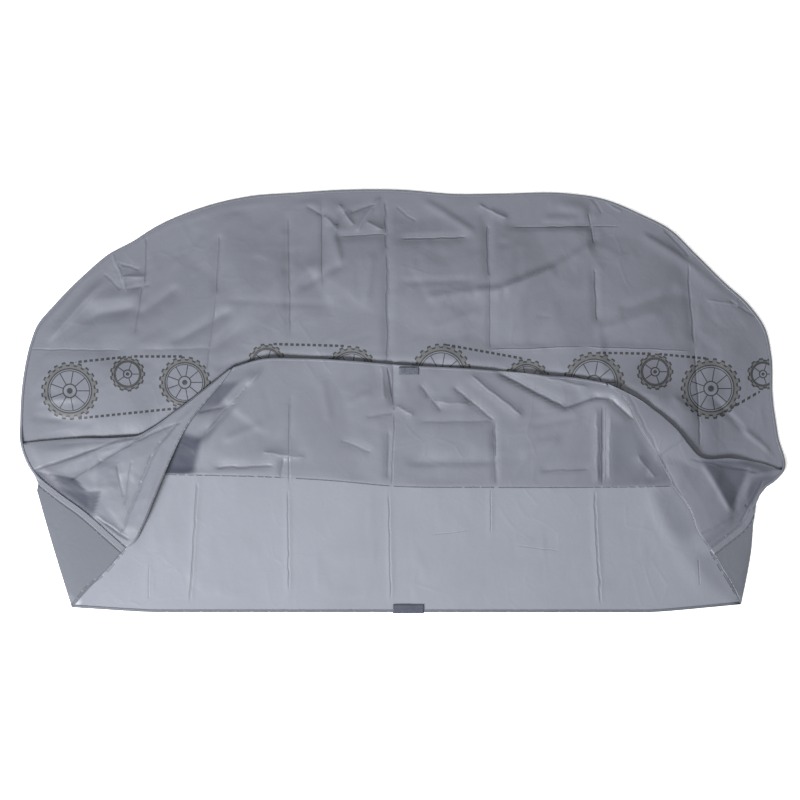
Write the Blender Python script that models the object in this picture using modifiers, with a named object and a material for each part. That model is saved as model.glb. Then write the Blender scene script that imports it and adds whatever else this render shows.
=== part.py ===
"""Bicycle cover: a flat bag of thin film cloth, laid down with its mouth turned open.

Two half-moon panels are joined round the arc by a binding tape. The front panel's lower
part is turned up and over along one fold, so its inside faces up, and both bottom corners
are squashed flat: each shows a triangle of the front panel next to one of the back panel.

Metres, +X to the right, +Y towards the crown, +Z up. Places on the cover are written
(x, h): x from the middle of the hem, h from the back panel's hem towards the crown.
Heights are those of a cloth's middle surface.
"""
import math

import bmesh
import bpy
import numpy as np

# ---- driving sizes -------------------------------------------------------------------
CLOTH = 0.0010            # thickness of every piece of film cloth
GAP = 0.00035             # air between two layers that touch
LAYER = CLOTH + GAP       # from one cloth's middle to the next
BACK_Z = CLOTH / 2        # the back panel lies on the floor
TAPE_Z = CLOTH / 2        # the binding's lower half lies under the back panel's edge
BACK_EDGE_Z = TAPE_Z + LAYER
FRONT_EDGE_Z = BACK_EDGE_Z + LAYER

TAPE_HALF = 0.0075        # width of the binding on each side of the seam
EDGE_INSET = 0.0030       # from the cover's outline to the panels' own edges
BORDER = 0.0095           # the panels stay flat this far in, under the binding
OPEN_INSET = 0.0006       # from the seam line to an edge where the binding lies open

SHOULDER = 0.70           # columns of the mesh stand upright up to this |x|
COLUMN_STEP = 0.046       # most space between two columns
SIDE_COLUMNS = 3          # columns that end on each side of the back panel's outline
BACK_FOLD_POINTS = 3      # points along each back corner's fold
RELAX_ROUNDS = 150        # rounds of evening out the back panel's grid beside its sides
POLE_CUT = 0.018          # cloth left away where all the folds meet
TURN_CUT = 0.012          # the back panel's edge ends this far before each turn
FOLD_CUT = {"left": 0.036, "right": 0.056}     # its corner fold starts this far past it
NOTCH = 0.018             # inset of the back panel's edge at the turn, clear of the binding
TURN_REACH = 0.025        # length in which the binding opens out flat

BELLY = 0.014             # the front panel stands this far off the back one inside
BELLY_LENGTH = 0.16
EDGE_LENGTH = 0.13        # length of its rise from the bound edge
MOUTH_GAP = 0.0095        # lift of the folded mouth edge over the back panel
MOUTH_CENTRE = 0.02
MOUTH_HALF = 0.42         # the lift is whole up to here, and dies out in MOUTH_FADE
MOUTH_FADE = 0.22
ROLL = 0.0013             # radius of the main fold and of the corner folds
FLAP_LIFT = 0.0030        # the turned-up flap stands off the cloth under it
HEM_LIFT = 0.0035         # and a little more at its hem
POCKET = 0.0065           # radius of a corner fold where it opens at the flap's hem
CREST_SHARE = 0.78        # where the ridge of a squashed corner runs, fold 0 to hem 1

# ---- the cover as it lies: short tables -------------------------------------------------
# The seam line from the left corner over the crown to the right corner.
SEAM = (
    # x, h, landmark
    (-0.727, 0.160, "left corner"),
    (-0.780, 0.207, ""),
    (-0.835, 0.255, ""),
    (-0.906, 0.307, ""),
    (-0.962, 0.356, "left turn"),
    (-0.988, 0.402, ""),
    (-0.999, 0.441, "left pole"),
    (-1.000, 0.500, ""),
    (-0.990, 0.625, ""),
    (-0.973, 0.703, ""),
    (-0.955, 0.750, ""),
    (-0.915, 0.798, ""),
    (-0.832, 0.882, ""),
    (-0.765, 0.938, ""),
    (-0.708, 0.968, ""),
    (-0.645, 1.008, ""),
    (-0.550, 1.050, ""),
    (-0.397, 1.089, ""),
    (-0.281, 1.098, ""),
    (-0.148, 1.106, ""),
    (0.000, 1.106, ""),
    (0.141, 1.095, ""),
    (0.265, 1.096, ""),
    (0.430, 1.097, ""),
    (0.526, 1.083, ""),
    (0.632, 1.041, ""),
    (0.705, 1.003, ""),
    (0.774, 0.937, ""),
    (0.850, 0.862, ""),
    (0.914, 0.803, ""),
    (0.955, 0.744, ""),
    (0.972, 0.672, ""),
    (0.976, 0.560, ""),
    (0.990, 0.460, ""),
    (1.005, 0.368, "right pole"),
    (0.984, 0.343, ""),
    (0.948, 0.315, ""),
    (0.932, 0.283, "right turn"),
    (0.900, 0.223, ""),
    (0.853, 0.184, ""),
    (0.816, 0.155, "right corner"),
)
# The front panel's main fold, where its lower part turns up.
MAIN_FOLD = (
    # x, h
    (-0.999, 0.441), (-0.895, 0.391), (-0.764, 0.367), (-0.625, 0.362), (-0.323, 0.354),
    (-0.160, 0.344), (-0.034, 0.332), (0.226, 0.328), (0.509, 0.328), (0.706, 0.331),
    (0.890, 0.344), (1.005, 0.368),
)
# The front panel's hem, now the flap's upper edge, from corner fold to corner fold.
FLAP_HEM = (
    # x, h
    (-0.444, 0.638), (-0.365, 0.661), (-0.265, 0.663), (-0.123, 0.656), (-0.003, 0.646),
    (0.197, 0.635), (0.373, 0.620), (0.467, 0.611), (0.541, 0.598),
)
# Each front corner: its fold from the pole to the flap's hem, and its hem from the seam
# to the same point. Each back corner: its fold and its hem, both ending at the back hem.
FRONT_FOLD = {
    "left": ((-0.999, 0.441), (-0.856, 0.453), (-0.711, 0.457), (-0.659, 0.475),
             (-0.580, 0.533), (-0.514, 0.584), (-0.444, 0.638)),
    "right": ((1.005, 0.368), (0.955, 0.386), (0.864, 0.402), (0.786, 0.405), (0.753, 0.438),
              (0.722, 0.478), (0.680, 0.515), (0.627, 0.554), (0.541, 0.598)),
}
FRONT_HEM = {
    "left": ((-0.727, 0.160), (-0.690, 0.186), (-0.667, 0.239), (-0.640, 0.310),
             (-0.601, 0.402), (-0.556, 0.491), (-0.512, 0.548), (-0.474, 0.592),
             (-0.444, 0.638)),
    "right": ((0.816, 0.155), (0.777, 0.213), (0.759, 0.262), (0.711, 0.331),
              (0.675, 0.402), (0.640, 0.454), (0.612, 0.499), (0.591, 0.546),
              (0.541, 0.598)),
}
BACK_FOLD = {
    "left": ((-0.962, 0.356), (-0.910, 0.185), (-0.853, 0.009)),
    "right": ((0.932, 0.283), (0.920, 0.150), (0.892, 0.018)),
}
BACK_HEM = {
    "left": ((-0.727, 0.160), (-0.780, 0.097), (-0.816, 0.068), (-0.853, 0.009)),
    "right": ((0.816, 0.155), (0.843, 0.107), (0.866, 0.071), (0.892, 0.018)),
}
HEM_SAG = 0.003           # the back hem lies a touch lower than its two ends

# Heights across a squashed front corner, at shares of the way from its pole to its hem.
CORNER_SHARE = (0.00, 0.15, 0.35, 0.60, 0.80)
CREST_Z = {"left": (0.009, 0.012, 0.022, 0.031, 0.037),
           "right": (0.009, 0.013, 0.024, 0.034, 0.039)}
HEM_Z = {"left": (0.004, 0.007, 0.016, 0.024, 0.031),
         "right": (0.004, 0.007, 0.017, 0.026, 0.033)}

# Soft folds and packing creases: a ridge or a trough along a line.
FRONT_RELIEF = (
    # x, h, x, h, half width, height
    (-0.680, 1.000, -0.675, 0.700, 0.016, 0.0030),
    (-0.488, 1.020, -0.488, 0.690, 0.016, 0.0030),
    (-0.291, 1.040, -0.291, 0.720, 0.016, 0.0030),
    (-0.037, 1.060, -0.037, 0.680, 0.016, -0.0030),
    (0.226, 1.040, 0.226, 0.700, 0.016, 0.0035),
    (0.509, 1.020, 0.509, 0.650, 0.016, 0.0030),
    (0.760, 0.910, 0.760, 0.560, 0.016, 0.0030),
    (-0.590, 0.710, -0.270, 0.880, 0.045, 0.0060),
    (-0.480, 0.680, -0.250, 0.780, 0.035, -0.0040),
    (-0.830, 0.780, -0.600, 0.840, 0.045, -0.0040),
    (0.080, 0.830, 0.260, 0.843, 0.040, 0.0050),
    (0.260, 0.843, 0.490, 0.950, 0.045, 0.0070),
    (0.580, 0.800, 0.720, 0.845, 0.050, 0.0050),
    (-0.980, 0.480, -0.700, 0.490, 0.040, -0.0030),
)
FLAP_RELIEF = (
    # x, h, x, h, half width, height
    (-0.460, 0.540, -0.365, 0.610, 0.030, 0.0060),
    (-0.290, 0.470, -0.290, 0.340, 0.020, 0.0030),
    (-0.030, 0.620, -0.030, 0.360, 0.016, 0.0030),
    (0.220, 0.500, 0.220, 0.350, 0.016, 0.0030),
    (0.380, 0.600, 0.560, 0.560, 0.035, -0.0050),
    (0.530, 0.555, 0.530, 0.345, 0.025, 0.0070),
)
BACK_RELIEF = (
    # x, h, x, h, half width, height
    (-0.550, 0.050, -0.535, 0.240, 0.018, 0.0010),
    (-0.296, 0.050, -0.296, 0.240, 0.018, 0.0010),
    (-0.031, 0.060, -0.031, 0.240, 0.018, 0.0010),
    (0.236, 0.050, 0.236, 0.240, 0.018, 0.0010),
    (0.524, 0.050, 0.514, 0.240, 0.018, 0.0010),
)
CORNER_RELIEF = {
    # x, h, x, h, half width, height
    "left": ((-0.940, 0.400, -0.700, 0.430, 0.022, 0.0040),
             (-0.930, 0.350, -0.780, 0.390, 0.025, -0.0040),
             (-0.860, 0.310, -0.700, 0.400, 0.028, 0.0040)),
    "right": ((0.960, 0.350, 0.870, 0.270, 0.028, 0.0050),
              (0.930, 0.380, 0.800, 0.370, 0.028, -0.0050)),
}

TAB_LIFT = 0.0007         # a tab's middle over the cloth it is sewn to, past one layer
TABS = {
    # name: x low, x high, h low, h high
    "front_hem_tab": (-0.005, 0.046, 0.620, 0.640),
    "back_hem_tab": (-0.021, 0.060, -0.006, 0.017),
}

FILM = (0.275, 0.301, 0.356)
TAPE_FILM = (0.250, 0.275, 0.330)
TAB_FILM = (0.122, 0.138, 0.184)


# ---- curves ---------------------------------------------------------------------------
def curve(points, shares):
    """Points at shares of the length of the smooth line through a few set points."""
    knots = np.array(points, float)
    steps = np.linalg.norm(np.diff(knots, axis=0), axis=1)
    reach = np.concatenate(([0.0], np.cumsum(steps)))
    slopes = np.gradient(knots, reach, axis=0)
    along = np.clip(np.atleast_1d(shares), 0.0, 1.0) * reach[-1]
    left = np.clip(np.searchsorted(reach, along, side="right") - 1, 0, len(steps) - 1)
    span = steps[left][:, None]
    t = (along - reach[left])[:, None] / span
    start = (2 * t**3 - 3 * t**2 + 1) * knots[left] + (t**3 - 2 * t**2 + t) * span * slopes[left]
    end = (3 * t**2 - 2 * t**3) * knots[left + 1] + (t**3 - t**2) * span * slopes[left + 1]
    return start + end


def right_hand(points):
    """Unit normals to the right of the way along a line of points."""
    along = np.gradient(points, axis=0)
    normal = np.stack((along[:, 1], -along[:, 0]), axis=1)
    return normal / np.linalg.norm(normal, axis=1)[:, None]


def smooth(share):
    """An even step from 0 to 1."""
    t = np.clip(share, 0.0, 1.0)
    return t * t * (3.0 - 2.0 * t)


def height_on(points, x):
    """h of a line that runs across the cover, at each x."""
    line = curve(points, np.linspace(0.0, 1.0, 400))
    order = np.argsort(line[:, 0])
    return np.interp(x, line[order, 0], line[order, 1])


SEAM_POINTS = [row[:2] for row in SEAM]
SEAM_LINE = curve(SEAM_POINTS, np.linspace(0.0, 1.0, 1500))
SEAM_NORMAL = right_hand(SEAM_LINE)
SEAM_REACH = np.concatenate(([0.0], np.cumsum(np.linalg.norm(np.diff(SEAM_LINE, axis=0), axis=1))))


def landmark(name):
    """Distance along the seam of a named row of its table."""
    place = next(row[:2] for row in SEAM if row[2] == name)
    return SEAM_REACH[np.argmin(np.linalg.norm(SEAM_LINE - np.array(place), axis=1))]


END = SEAM_REACH[-1]
TURN = {"left": landmark("left turn"), "right": landmark("right turn")}
POLE = {"left": landmark("left pole"), "right": landmark("right pole")}
CORNER = {"left": 0.0, "right": END}
INWARD = {"left": 1.0, "right": -1.0}    # the way along the seam from corner to crown


def seam(reach, inset):
    """Places at a distance along the seam, moved in from it by inset."""
    place = [np.interp(reach, SEAM_REACH, SEAM_LINE[:, k]) for k in (0, 1)]
    normal = [np.interp(reach, SEAM_REACH, SEAM_NORMAL[:, k]) for k in (0, 1)]
    return np.stack([p + inset * n for p, n in zip(place, normal)], axis=-1)


def past_turn(reach):
    """Distance past the nearest turn, towards its corner: less than 0 over the crown."""
    return np.maximum(TURN["left"] - reach, reach - TURN["right"])


def seam_inset(reach):
    """The front panel's edge comes up to the seam line once the binding lies open."""
    open_share = smooth((past_turn(reach) - TURN_REACH) / TURN_REACH)
    return EDGE_INSET + (OPEN_INSET - EDGE_INSET) * open_share


def front_edge_height(reach):
    """Height of the front panel's edge: it climbs over the folds at each pole."""
    stations = (0.0, TURN["left"] - 0.06, POLE["left"], POLE["left"] + 0.05,
                POLE["right"] - 0.05, POLE["right"], TURN["right"] + 0.06, END)
    pole_z = FRONT_EDGE_Z + 0.0050
    heights = (BACK_EDGE_Z, BACK_EDGE_Z, pole_z, FRONT_EDGE_Z,
               FRONT_EDGE_Z, pole_z, BACK_EDGE_Z, BACK_EDGE_Z)
    return np.interp(reach, stations, heights)


def corner_stations(side):
    """Distances along the seam, from a pole to its corner, where every edge has a point."""
    pole, turn, corner, sense = POLE[side], TURN[side], CORNER[side], INWARD[side]
    near = (pole, (pole + turn) / 2, turn + sense * TURN_CUT, turn,
            turn - sense * TURN_REACH / 2, turn - sense * TURN_REACH)
    crest = pole + CREST_SHARE * (corner - pole)
    far = np.linspace(near[-1], crest, 5)[1:]
    return np.concatenate((near, far, (pole + 0.9 * (corner - pole), corner)))


# ---- heights --------------------------------------------------------------------------
def relief(places, table):
    """Sum of soft ridges and troughs, each along its own straight line."""
    total = np.zeros(places.shape[:-1])
    for x0, h0, x1, h1, half_width, height in table:
        start = np.array((x0, h0))
        line = np.array((x1, h1)) - start
        share = np.clip(((places - start) @ line) / (line @ line), 0.0, 1.0)
        away = np.linalg.norm(places - start - share[..., None] * line, axis=-1)
        total += height * np.exp(-((away / half_width) ** 2))
    return total


def edge_distance(places):
    """Distance of each place from the bound edge between the two poles."""
    along = (SEAM_REACH >= POLE["left"]) & (SEAM_REACH <= POLE["right"])
    edge = SEAM_LINE[along][::6]
    flat = places.reshape(-1, 2)
    away = np.linalg.norm(flat[:, None, :] - edge[None, :, :], axis=-1)
    return away.min(axis=1).reshape(places.shape[:-1])


def mouth_lift(x):
    return MOUTH_GAP * (1.0 - smooth((np.abs(x - MOUTH_CENTRE) - MOUTH_HALF) / MOUTH_FADE))


def front_height(places):
    """The front panel over the bag's inside, down to its main fold."""
    x, h = places[..., 0], places[..., 1]
    inside = smooth((h - height_on(MAIN_FOLD, x)) / BELLY_LENGTH)
    loft = mouth_lift(x) + (BELLY - mouth_lift(x)) * inside
    rise = smooth((edge_distance(places) - BORDER) / EDGE_LENGTH)
    return FRONT_EDGE_Z + rise * (loft + inside * relief(places, FRONT_RELIEF))


def flap_height(places):
    """The turned-up flap, over the front panel."""
    x, h = places[..., 0], places[..., 1]
    above_fold = h - height_on(MAIN_FOLD, x)
    rise = smooth((edge_distance(places) - BORDER) / EDGE_LENGTH)
    lift = FLAP_LIFT * smooth(above_fold / 0.08)
    hem = HEM_LIFT * smooth(1.0 - (height_on(FLAP_HEM, x) - h) / 0.06)
    folds = smooth(above_fold / 0.03) * relief(places, FLAP_RELIEF)
    return front_height(places) + 2 * ROLL + rise * (lift + hem + folds)


def under_corner(places):
    """Top of what a squashed front corner lies on: the flap, then down to the back panel."""
    x, h = places[..., 0], places[..., 1]
    fold = height_on(MAIN_FOLD, x)
    on_flap = flap_height(np.stack((x, np.maximum(h, fold)), axis=-1))
    share = smooth((h - (fold - 0.085)) / 0.045)
    return BACK_Z + (on_flap - BACK_Z) * share


# ---- sheets ---------------------------------------------------------------------------
def with_height(places, heights):
    return np.concatenate((places, np.asarray(heights)[..., None]), axis=-1)


def roll(edge, outward, low, radius, steps):
    """Rows of a half turn of cloth: from its lower side round its edge to its upper."""
    angles = np.linspace(-math.pi / 2, math.pi / 2, steps + 1)[:, None]
    radius = np.broadcast_to(radius, low.shape)
    push = radius * (np.cos(angles) - 1.0)
    places = edge[None] + push[..., None] * outward[None]
    return with_height(places, low + radius * (1.0 + np.sin(angles)))


def columns(knots, step):
    """Values through every knot with at most one step between them."""
    values = []
    for low, high in zip(knots[:-1], knots[1:]):
        count = max(1, math.ceil((high - low) / step))
        values.extend(np.linspace(low, high, count + 1)[:-1])
    return np.array(values + [knots[-1]])


def crown_reach(lower, first, last):
    """Where each column over the lower points meets the seam: upright between the
    shoulders, fanned out towards the two ends."""
    crown = (SEAM_REACH > POLE["left"] + 0.4) & (SEAM_REACH < POLE["right"] - 0.4)
    upright = crown & (np.abs(SEAM_LINE[:, 0]) < SHOULDER + 0.05)
    reach = np.interp(lower[:, 0], SEAM_LINE[upright, 0], SEAM_REACH[upright])
    steps = np.linalg.norm(np.diff(lower, axis=0), axis=1)
    along = np.concatenate(([0.0], np.cumsum(steps)))
    left = int(np.argmax(lower[:, 0] > -SHOULDER))
    right = len(lower) - 1 - int(np.argmax(lower[::-1, 0] < SHOULDER))
    share = along[:left] / along[left]
    reach[:left] = first + share * (reach[left] - first)
    share = (along[-1] - along[right + 1:]) / (along[-1] - along[right])
    reach[right + 1:] = last + share * (reach[right] - last)
    return reach


def shares_of(points):
    """Share of a line's length at each of its points."""
    steps = np.linalg.norm(np.diff(points, axis=0), axis=1)
    return np.concatenate(([0.0], np.cumsum(steps))) / steps.sum()


def bow(side, down):
    """How far a side's points lie off the straight line between its ends."""
    return side - (side[0] + down[:, None] * (side[-1] - side[0]))


def corner_patch(fold_row, seam_side, hem_points, down):
    """Places of a corner's triangle: its fold row, its side along the seam and its hem.

    Columns run from the fold row to the hem. The first is the seam side, and the last
    shrinks to the point where fold and hem meet.
    """
    across = shares_of(fold_row)
    hem = curve([seam_side[-1], *hem_points[1:-1], fold_row[-1]], across)
    rows = down[:, None, None]
    places = (1 - rows) * fold_row[None] + rows * hem[None]
    places += (1 - across)[None, :, None] * bow(seam_side, down)[:, None]
    places[:, -1] = fold_row[-1]
    return places, across


def relax(places):
    """Evens out the inner points of a grid between its four fixed rims."""
    for _ in range(RELAX_ROUNDS):
        around = places[:-2, 1:-1] + places[2:, 1:-1] + places[1:-1, :-2] + places[1:-1, 2:]
        places[1:-1, 1:-1] = around / 4


def body_patch(top, lower, left, right):
    """Places between a top and a lower line, upright between the shoulders, and evened
    out beside the left and right lines."""
    down = ((shares_of(left) + shares_of(right)) / 2)[:, None, None]
    places = (1 - down) * top[None] + down * lower[None]
    places[:, 0], places[:, -1] = left, right
    upright = np.flatnonzero(np.abs(lower[:, 0]) < SHOULDER)
    relax(places[:, :upright[0] + 1])
    relax(places[:, upright[-1]:])
    return places


def add_grid(mesh, points):
    """One grid of quads with a row of points for each row of the array."""
    rows, cols = points.shape[:2]
    made = bmesh.ops.create_grid(mesh, x_segments=cols - 1, y_segments=rows - 1, size=1.0)
    for vert, place in zip(made["verts"], points.reshape(-1, 3)):
        vert.co = place


def cloth(name, grids, finish, collection):
    """One piece of cloth: grids that share their rims, given the cloth's thickness."""
    mesh = bmesh.new()
    for points in grids:
        add_grid(mesh, points)
    bmesh.ops.remove_doubles(mesh, verts=mesh.verts, dist=0.00002)
    bmesh.ops.recalc_face_normals(mesh, faces=mesh.faces)
    data = bpy.data.meshes.new(name)
    mesh.to_mesh(data)
    mesh.free()
    data.shade_smooth()
    piece = bpy.data.objects.new(name, data)
    collection.objects.link(piece)
    thick = piece.modifiers.new("thickness", "SOLIDIFY")
    thick.thickness = CLOTH
    thick.offset = 0.0
    data.materials.append(finish)
    return piece


def film(name, colour, roughness):
    finish = bpy.data.materials.new(name)
    finish.use_nodes = True
    shader = finish.node_tree.nodes["Principled BSDF"]
    shader.inputs["Base Color"].default_value = (*colour, 1.0)
    shader.inputs["Roughness"].default_value = roughness
    shader.inputs["Metallic"].default_value = 0.0
    return finish


# ---- front panel ------------------------------------------------------------------------
def front_columns():
    """The front panel's columns: places on its main fold, and where each meets the seam."""
    creases = [row[0] for row in FRONT_RELIEF if row[0] == row[2]]
    turns = [FRONT_FOLD[side][-1][0] for side in FRONT_FOLD]
    ends = (MAIN_FOLD[0][0] + POLE_CUT, MAIN_FOLD[-1][0] - POLE_CUT)
    x = columns(sorted((*ends, *turns, *creases)), COLUMN_STEP)
    fold_line = np.stack((x, height_on(MAIN_FOLD, x)), axis=1)
    return fold_line, crown_reach(fold_line, POLE["left"], POLE["right"])


def front_corner(side, fold_row):
    """The squashed triangle of one front corner, joined to the flap along its fold row."""
    reach = corner_stations(side)
    rows = (reach - POLE[side]) / (CORNER[side] - POLE[side])
    edge_z = front_edge_height(reach)
    seam_side = seam(reach, BORDER)
    row = np.concatenate((seam_side[:1], fold_row[:, :2]))
    places, across = corner_patch(row, seam_side, FRONT_HEM[side], rows)
    row_z = np.concatenate((edge_z[:1], fold_row[:, 2]))

    shares = (*CORNER_SHARE, 1.0)
    crest_z = np.interp(across, shares, (*CREST_Z[side], row_z[-1]))
    hem_z = np.interp(across, shares, (*HEM_Z[side], row_z[-1]))
    down = rows[:, None]
    to_crest = smooth(down / CREST_SHARE)
    to_hem = np.clip((down - CREST_SHARE) / (1.0 - CREST_SHARE), 0.0, 1.0)
    heights = row_z + (crest_z - row_z) * to_crest + (hem_z - crest_z) * to_hem
    heights = heights + relief(places, CORNER_RELIEF[side]) * smooth(down / 0.15) * (1 - to_hem)
    heights = np.maximum(heights, under_corner(places) + 2 * LAYER)
    away = np.linalg.norm(places - seam_side[:, None], axis=-1)
    heights = edge_z[:, None] + (heights - edge_z[:, None]) * smooth(away / 0.045)
    heights[0] = row_z
    heights[:, -1] = row_z[-1]

    line = seam(reach, 0.0)
    edge = line + (seam_side - line) * seam_inset(reach)[:, None] / BORDER
    border = np.stack((with_height(edge, edge_z), with_height(seam_side, edge_z)), axis=1)
    return [border, with_height(places, heights)]


def front_panel(finish, collection):
    fold_line, reach = front_columns()
    x = fold_line[:, 0]
    turn_x = {side: FRONT_FOLD[side][-1][0] for side in FRONT_FOLD}
    turn = roll(fold_line, right_hand(fold_line), front_height(fold_line), ROLL, 3)

    edge = with_height(seam(reach, EDGE_INSET), np.full_like(x, FRONT_EDGE_Z))
    border = seam(reach, BORDER)
    down = np.linspace(0.0, 1.0, 12)[:, None, None]
    places = (1 - down) * border[None] + down * turn[0, :, :2][None]
    body = with_height(places, front_height(places))
    body[-1] = turn[0]
    grids = [np.concatenate((edge[None], body)), turn]

    middle = (x >= turn_x["left"]) & (x <= turn_x["right"])
    top = np.where(x < turn_x["left"], height_on(FRONT_FOLD["left"], x),
                   height_on(FRONT_FOLD["right"], x))
    top = np.where(middle, height_on(FLAP_HEM, x), top)
    upper = np.stack((x, top), axis=1)
    corner_rolls = {}
    for side in ("left", "right"):
        part = x <= turn_x["left"] if side == "left" else x >= turn_x["right"]
        line = upper[part]
        normal = -right_hand(line)
        along = np.linspace(0.0, 1.0, len(line))
        along = along if side == "left" else along[::-1]
        radius = ROLL + (POCKET - ROLL) * smooth((along - 0.45) / 0.55)
        upper[part] = line - normal * radius[:, None]
        corner_rolls[side] = (part, line, normal, radius)
    up = np.linspace(0.0, 1.0, 8)[:, None, None]
    places = (1 - up) * turn[-1, :, :2][None] + up * upper[None]
    flap = with_height(places, flap_height(places))
    flap[0] = turn[-1]
    grids.append(flap)

    for side, (part, line, normal, radius) in corner_rolls.items():
        turned = roll(line, normal, flap[-1, part, 2], radius, 3)
        turned[0] = flap[-1, part]
        row = turned[-1] if side == "left" else turned[-1, ::-1]
        grids.append(turned)
        grids.extend(front_corner(side, row))
    return cloth("front_panel", grids, finish, collection)


# ---- back panel -------------------------------------------------------------------------
BACK_CORNER_Z = BACK_EDGE_Z
BACK_CORNER_PUFF = 0.0003


def back_corner(side, fold_row):
    """The squashed triangle of one back corner, its outside up, over the back panel."""
    reach = corner_stations(side)[5:]
    rows = (reach - reach[0]) / (reach[-1] - reach[0])
    seam_side = seam(reach, -BORDER)
    row = np.concatenate((seam_side[:1], fold_row[:, :2]))
    places, across = corner_patch(row, seam_side, BACK_HEM[side], rows)
    puff = np.sin(math.pi * across)[None] * smooth(rows / 0.5)[:, None]
    edge = with_height(seam(reach, -OPEN_INSET), np.full(len(reach), BACK_CORNER_Z))
    border = np.stack((edge, with_height(seam_side, edge[:, 2])), axis=1)
    return [border, with_height(places, BACK_CORNER_Z + BACK_CORNER_PUFF * puff)]


def back_panel(finish, collection):
    fold_line, front_reach = front_columns()
    upright = np.abs(fold_line[:, 0]) < SHOULDER
    top = slice(SIDE_COLUMNS - 1, 1 - SIDE_COLUMNS)
    hem_x = fold_line[upright, 0]
    hem = np.stack((hem_x, np.full_like(hem_x, -HEM_SAG)), axis=1)

    lower, sides, folds = [hem], {}, {}
    radius = (BACK_CORNER_Z - BACK_Z) / 2
    for side, last_columns in (("left", slice(None, SIDE_COLUMNS)),
                               ("right", slice(-SIDE_COLUMNS, None))):
        stations = np.concatenate((corner_stations(side)[:3], front_reach[last_columns]))
        sides[side] = np.unique(stations)[::-int(INWARD[side])]
        line = curve(BACK_FOLD[side], np.linspace(0.0, 1.0, BACK_FOLD_POINTS))
        line[0] += FOLD_CUT[side] * (line[-1] - line[0]) / np.linalg.norm(line[-1] - line[0])
        folds[side] = (line, INWARD[side] * right_hand(line))
        notch = seam(np.array([TURN[side]]), NOTCH)
        part = np.concatenate((seam(sides[side][-1:], BORDER), notch,
                               line - radius * folds[side][1]))
        lower = [part, *lower] if side == "left" else [*lower, part[::-1]]
    lower = np.concatenate(lower)
    top_reach = front_reach[top]
    assert len(lower) == len(top_reach), "the hem and the arc need as many columns"
    body = body_patch(seam(top_reach, BORDER), lower,
                      seam(sides["left"], BORDER), seam(sides["right"], BORDER))
    heights = BACK_Z + np.maximum(relief(body, BACK_RELIEF), 0.0)
    heights[-1] = BACK_Z
    heights[0], heights[:, 0], heights[:, -1] = BACK_EDGE_Z, BACK_EDGE_Z, BACK_EDGE_Z
    grids = [with_height(body, heights)]
    for reach in (top_reach, sides["left"], sides["right"]):
        strip = np.stack((seam(reach, EDGE_INSET), seam(reach, BORDER)))
        grids.append(with_height(strip, np.full(strip.shape[:2], BACK_EDGE_Z)))
    for side, (line, outward) in folds.items():
        turned = roll(line, outward, np.full(len(line), BACK_Z), radius, 3)
        grids.append(turned)
        grids.extend(back_corner(side, turned[-1]))
    return cloth("back_panel", grids, finish, collection)


# ---- binding and tabs ---------------------------------------------------------------------
TAPE_SECTION = (
    # wrapped: inset, height   hanging: inset, height   open flat: inset
    (TAPE_HALF, 1.00, TAPE_HALF, 1.00, TAPE_HALF),
    (0.0025, 1.00, 0.0025, 1.00, 0.0050),
    (0.0011, 0.85, 0.0011, 0.97, 0.0030),
    (0.0005, 0.50, 0.0005, 0.50, 0.0000),
    (0.0011, 0.15, 0.0004, 0.33, -0.0025),
    (0.0025, 0.00, 0.0003, 0.18, -0.0050),
    (TAPE_HALF, 0.00, 0.0003, 0.05, -TAPE_HALF),
)


def seam_binding(finish, collection):
    """One tape along the whole seam. It wraps the two edges round the arc, hangs from the
    front panel's edge at each turn and lies open flat across each corner."""
    reach = np.unique(np.concatenate((corner_stations("left"), front_columns()[1],
                                      corner_stations("right"))))
    top = front_edge_height(reach) + LAYER
    base = seam(reach, 0.0)
    normal = (seam(reach, BORDER) - base) / BORDER
    hang_share = np.clip(1.0 + past_turn(reach) / TURN_CUT, 0.0, 1.0)
    flat_share = np.clip(past_turn(reach) / TURN_REACH, 0.0, 1.0)
    section = []
    for wrap_in, wrap_up, hang_in, hang_up, flat_in in TAPE_SECTION:
        inset = wrap_in + (hang_in - wrap_in) * hang_share
        up = wrap_up + (hang_up - wrap_up) * hang_share
        inset = inset + (flat_in - inset) * flat_share
        up = up + (1.0 - up) * flat_share
        height = TAPE_Z + (top - TAPE_Z) * up
        section.append(with_height(base + inset[:, None] * normal, height))
    return cloth("seam_binding", [np.stack(section)], finish, collection)


def tab(name, finish, collection):
    """A short tab that lies on the inside of its panel's hem."""
    x0, x1, h0, h1 = TABS[name]
    x, h = np.meshgrid(np.linspace(x0, x1, 4), np.linspace(h0, h1, 3))
    places = np.stack((x, h), axis=-1)
    if name == "front_hem_tab":
        heights = flap_height(places)
    else:
        heights = np.full(x.shape, BACK_Z)
    return cloth(name, [with_height(places, heights + LAYER + TAB_LIFT)], finish, collection)


def centre_on_floor(pieces):
    """Moves the pieces so that the middle of the cover's box lies at x = 0, y = 0."""
    bpy.context.view_layer.update()
    places = np.array([piece.matrix_world @ vert.co for piece in pieces for vert in piece.data.vertices])
    low, high = places.min(axis=0), places.max(axis=0)
    for piece in pieces:
        piece.location.x = -(low[0] + high[0]) / 2
        piece.location.y = -(low[1] + high[1]) / 2


for old in list(bpy.data.objects):
    bpy.data.objects.remove(old, do_unlink=True)
cover = bpy.data.collections.new("bicycle_cover")
bpy.context.scene.collection.children.link(cover)
film_finish = film("coated_film", FILM, 0.42)
tape_finish = film("binding_film", TAPE_FILM, 0.45)
tab_finish = film("tab_film", TAB_FILM, 0.50)
pieces = [
    front_panel(film_finish, cover),
    back_panel(film_finish, cover),
    seam_binding(tape_finish, cover),
    tab("front_hem_tab", tab_finish, cover),
    tab("back_hem_tab", tab_finish, cover),
]
centre_on_floor(pieces)
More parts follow.
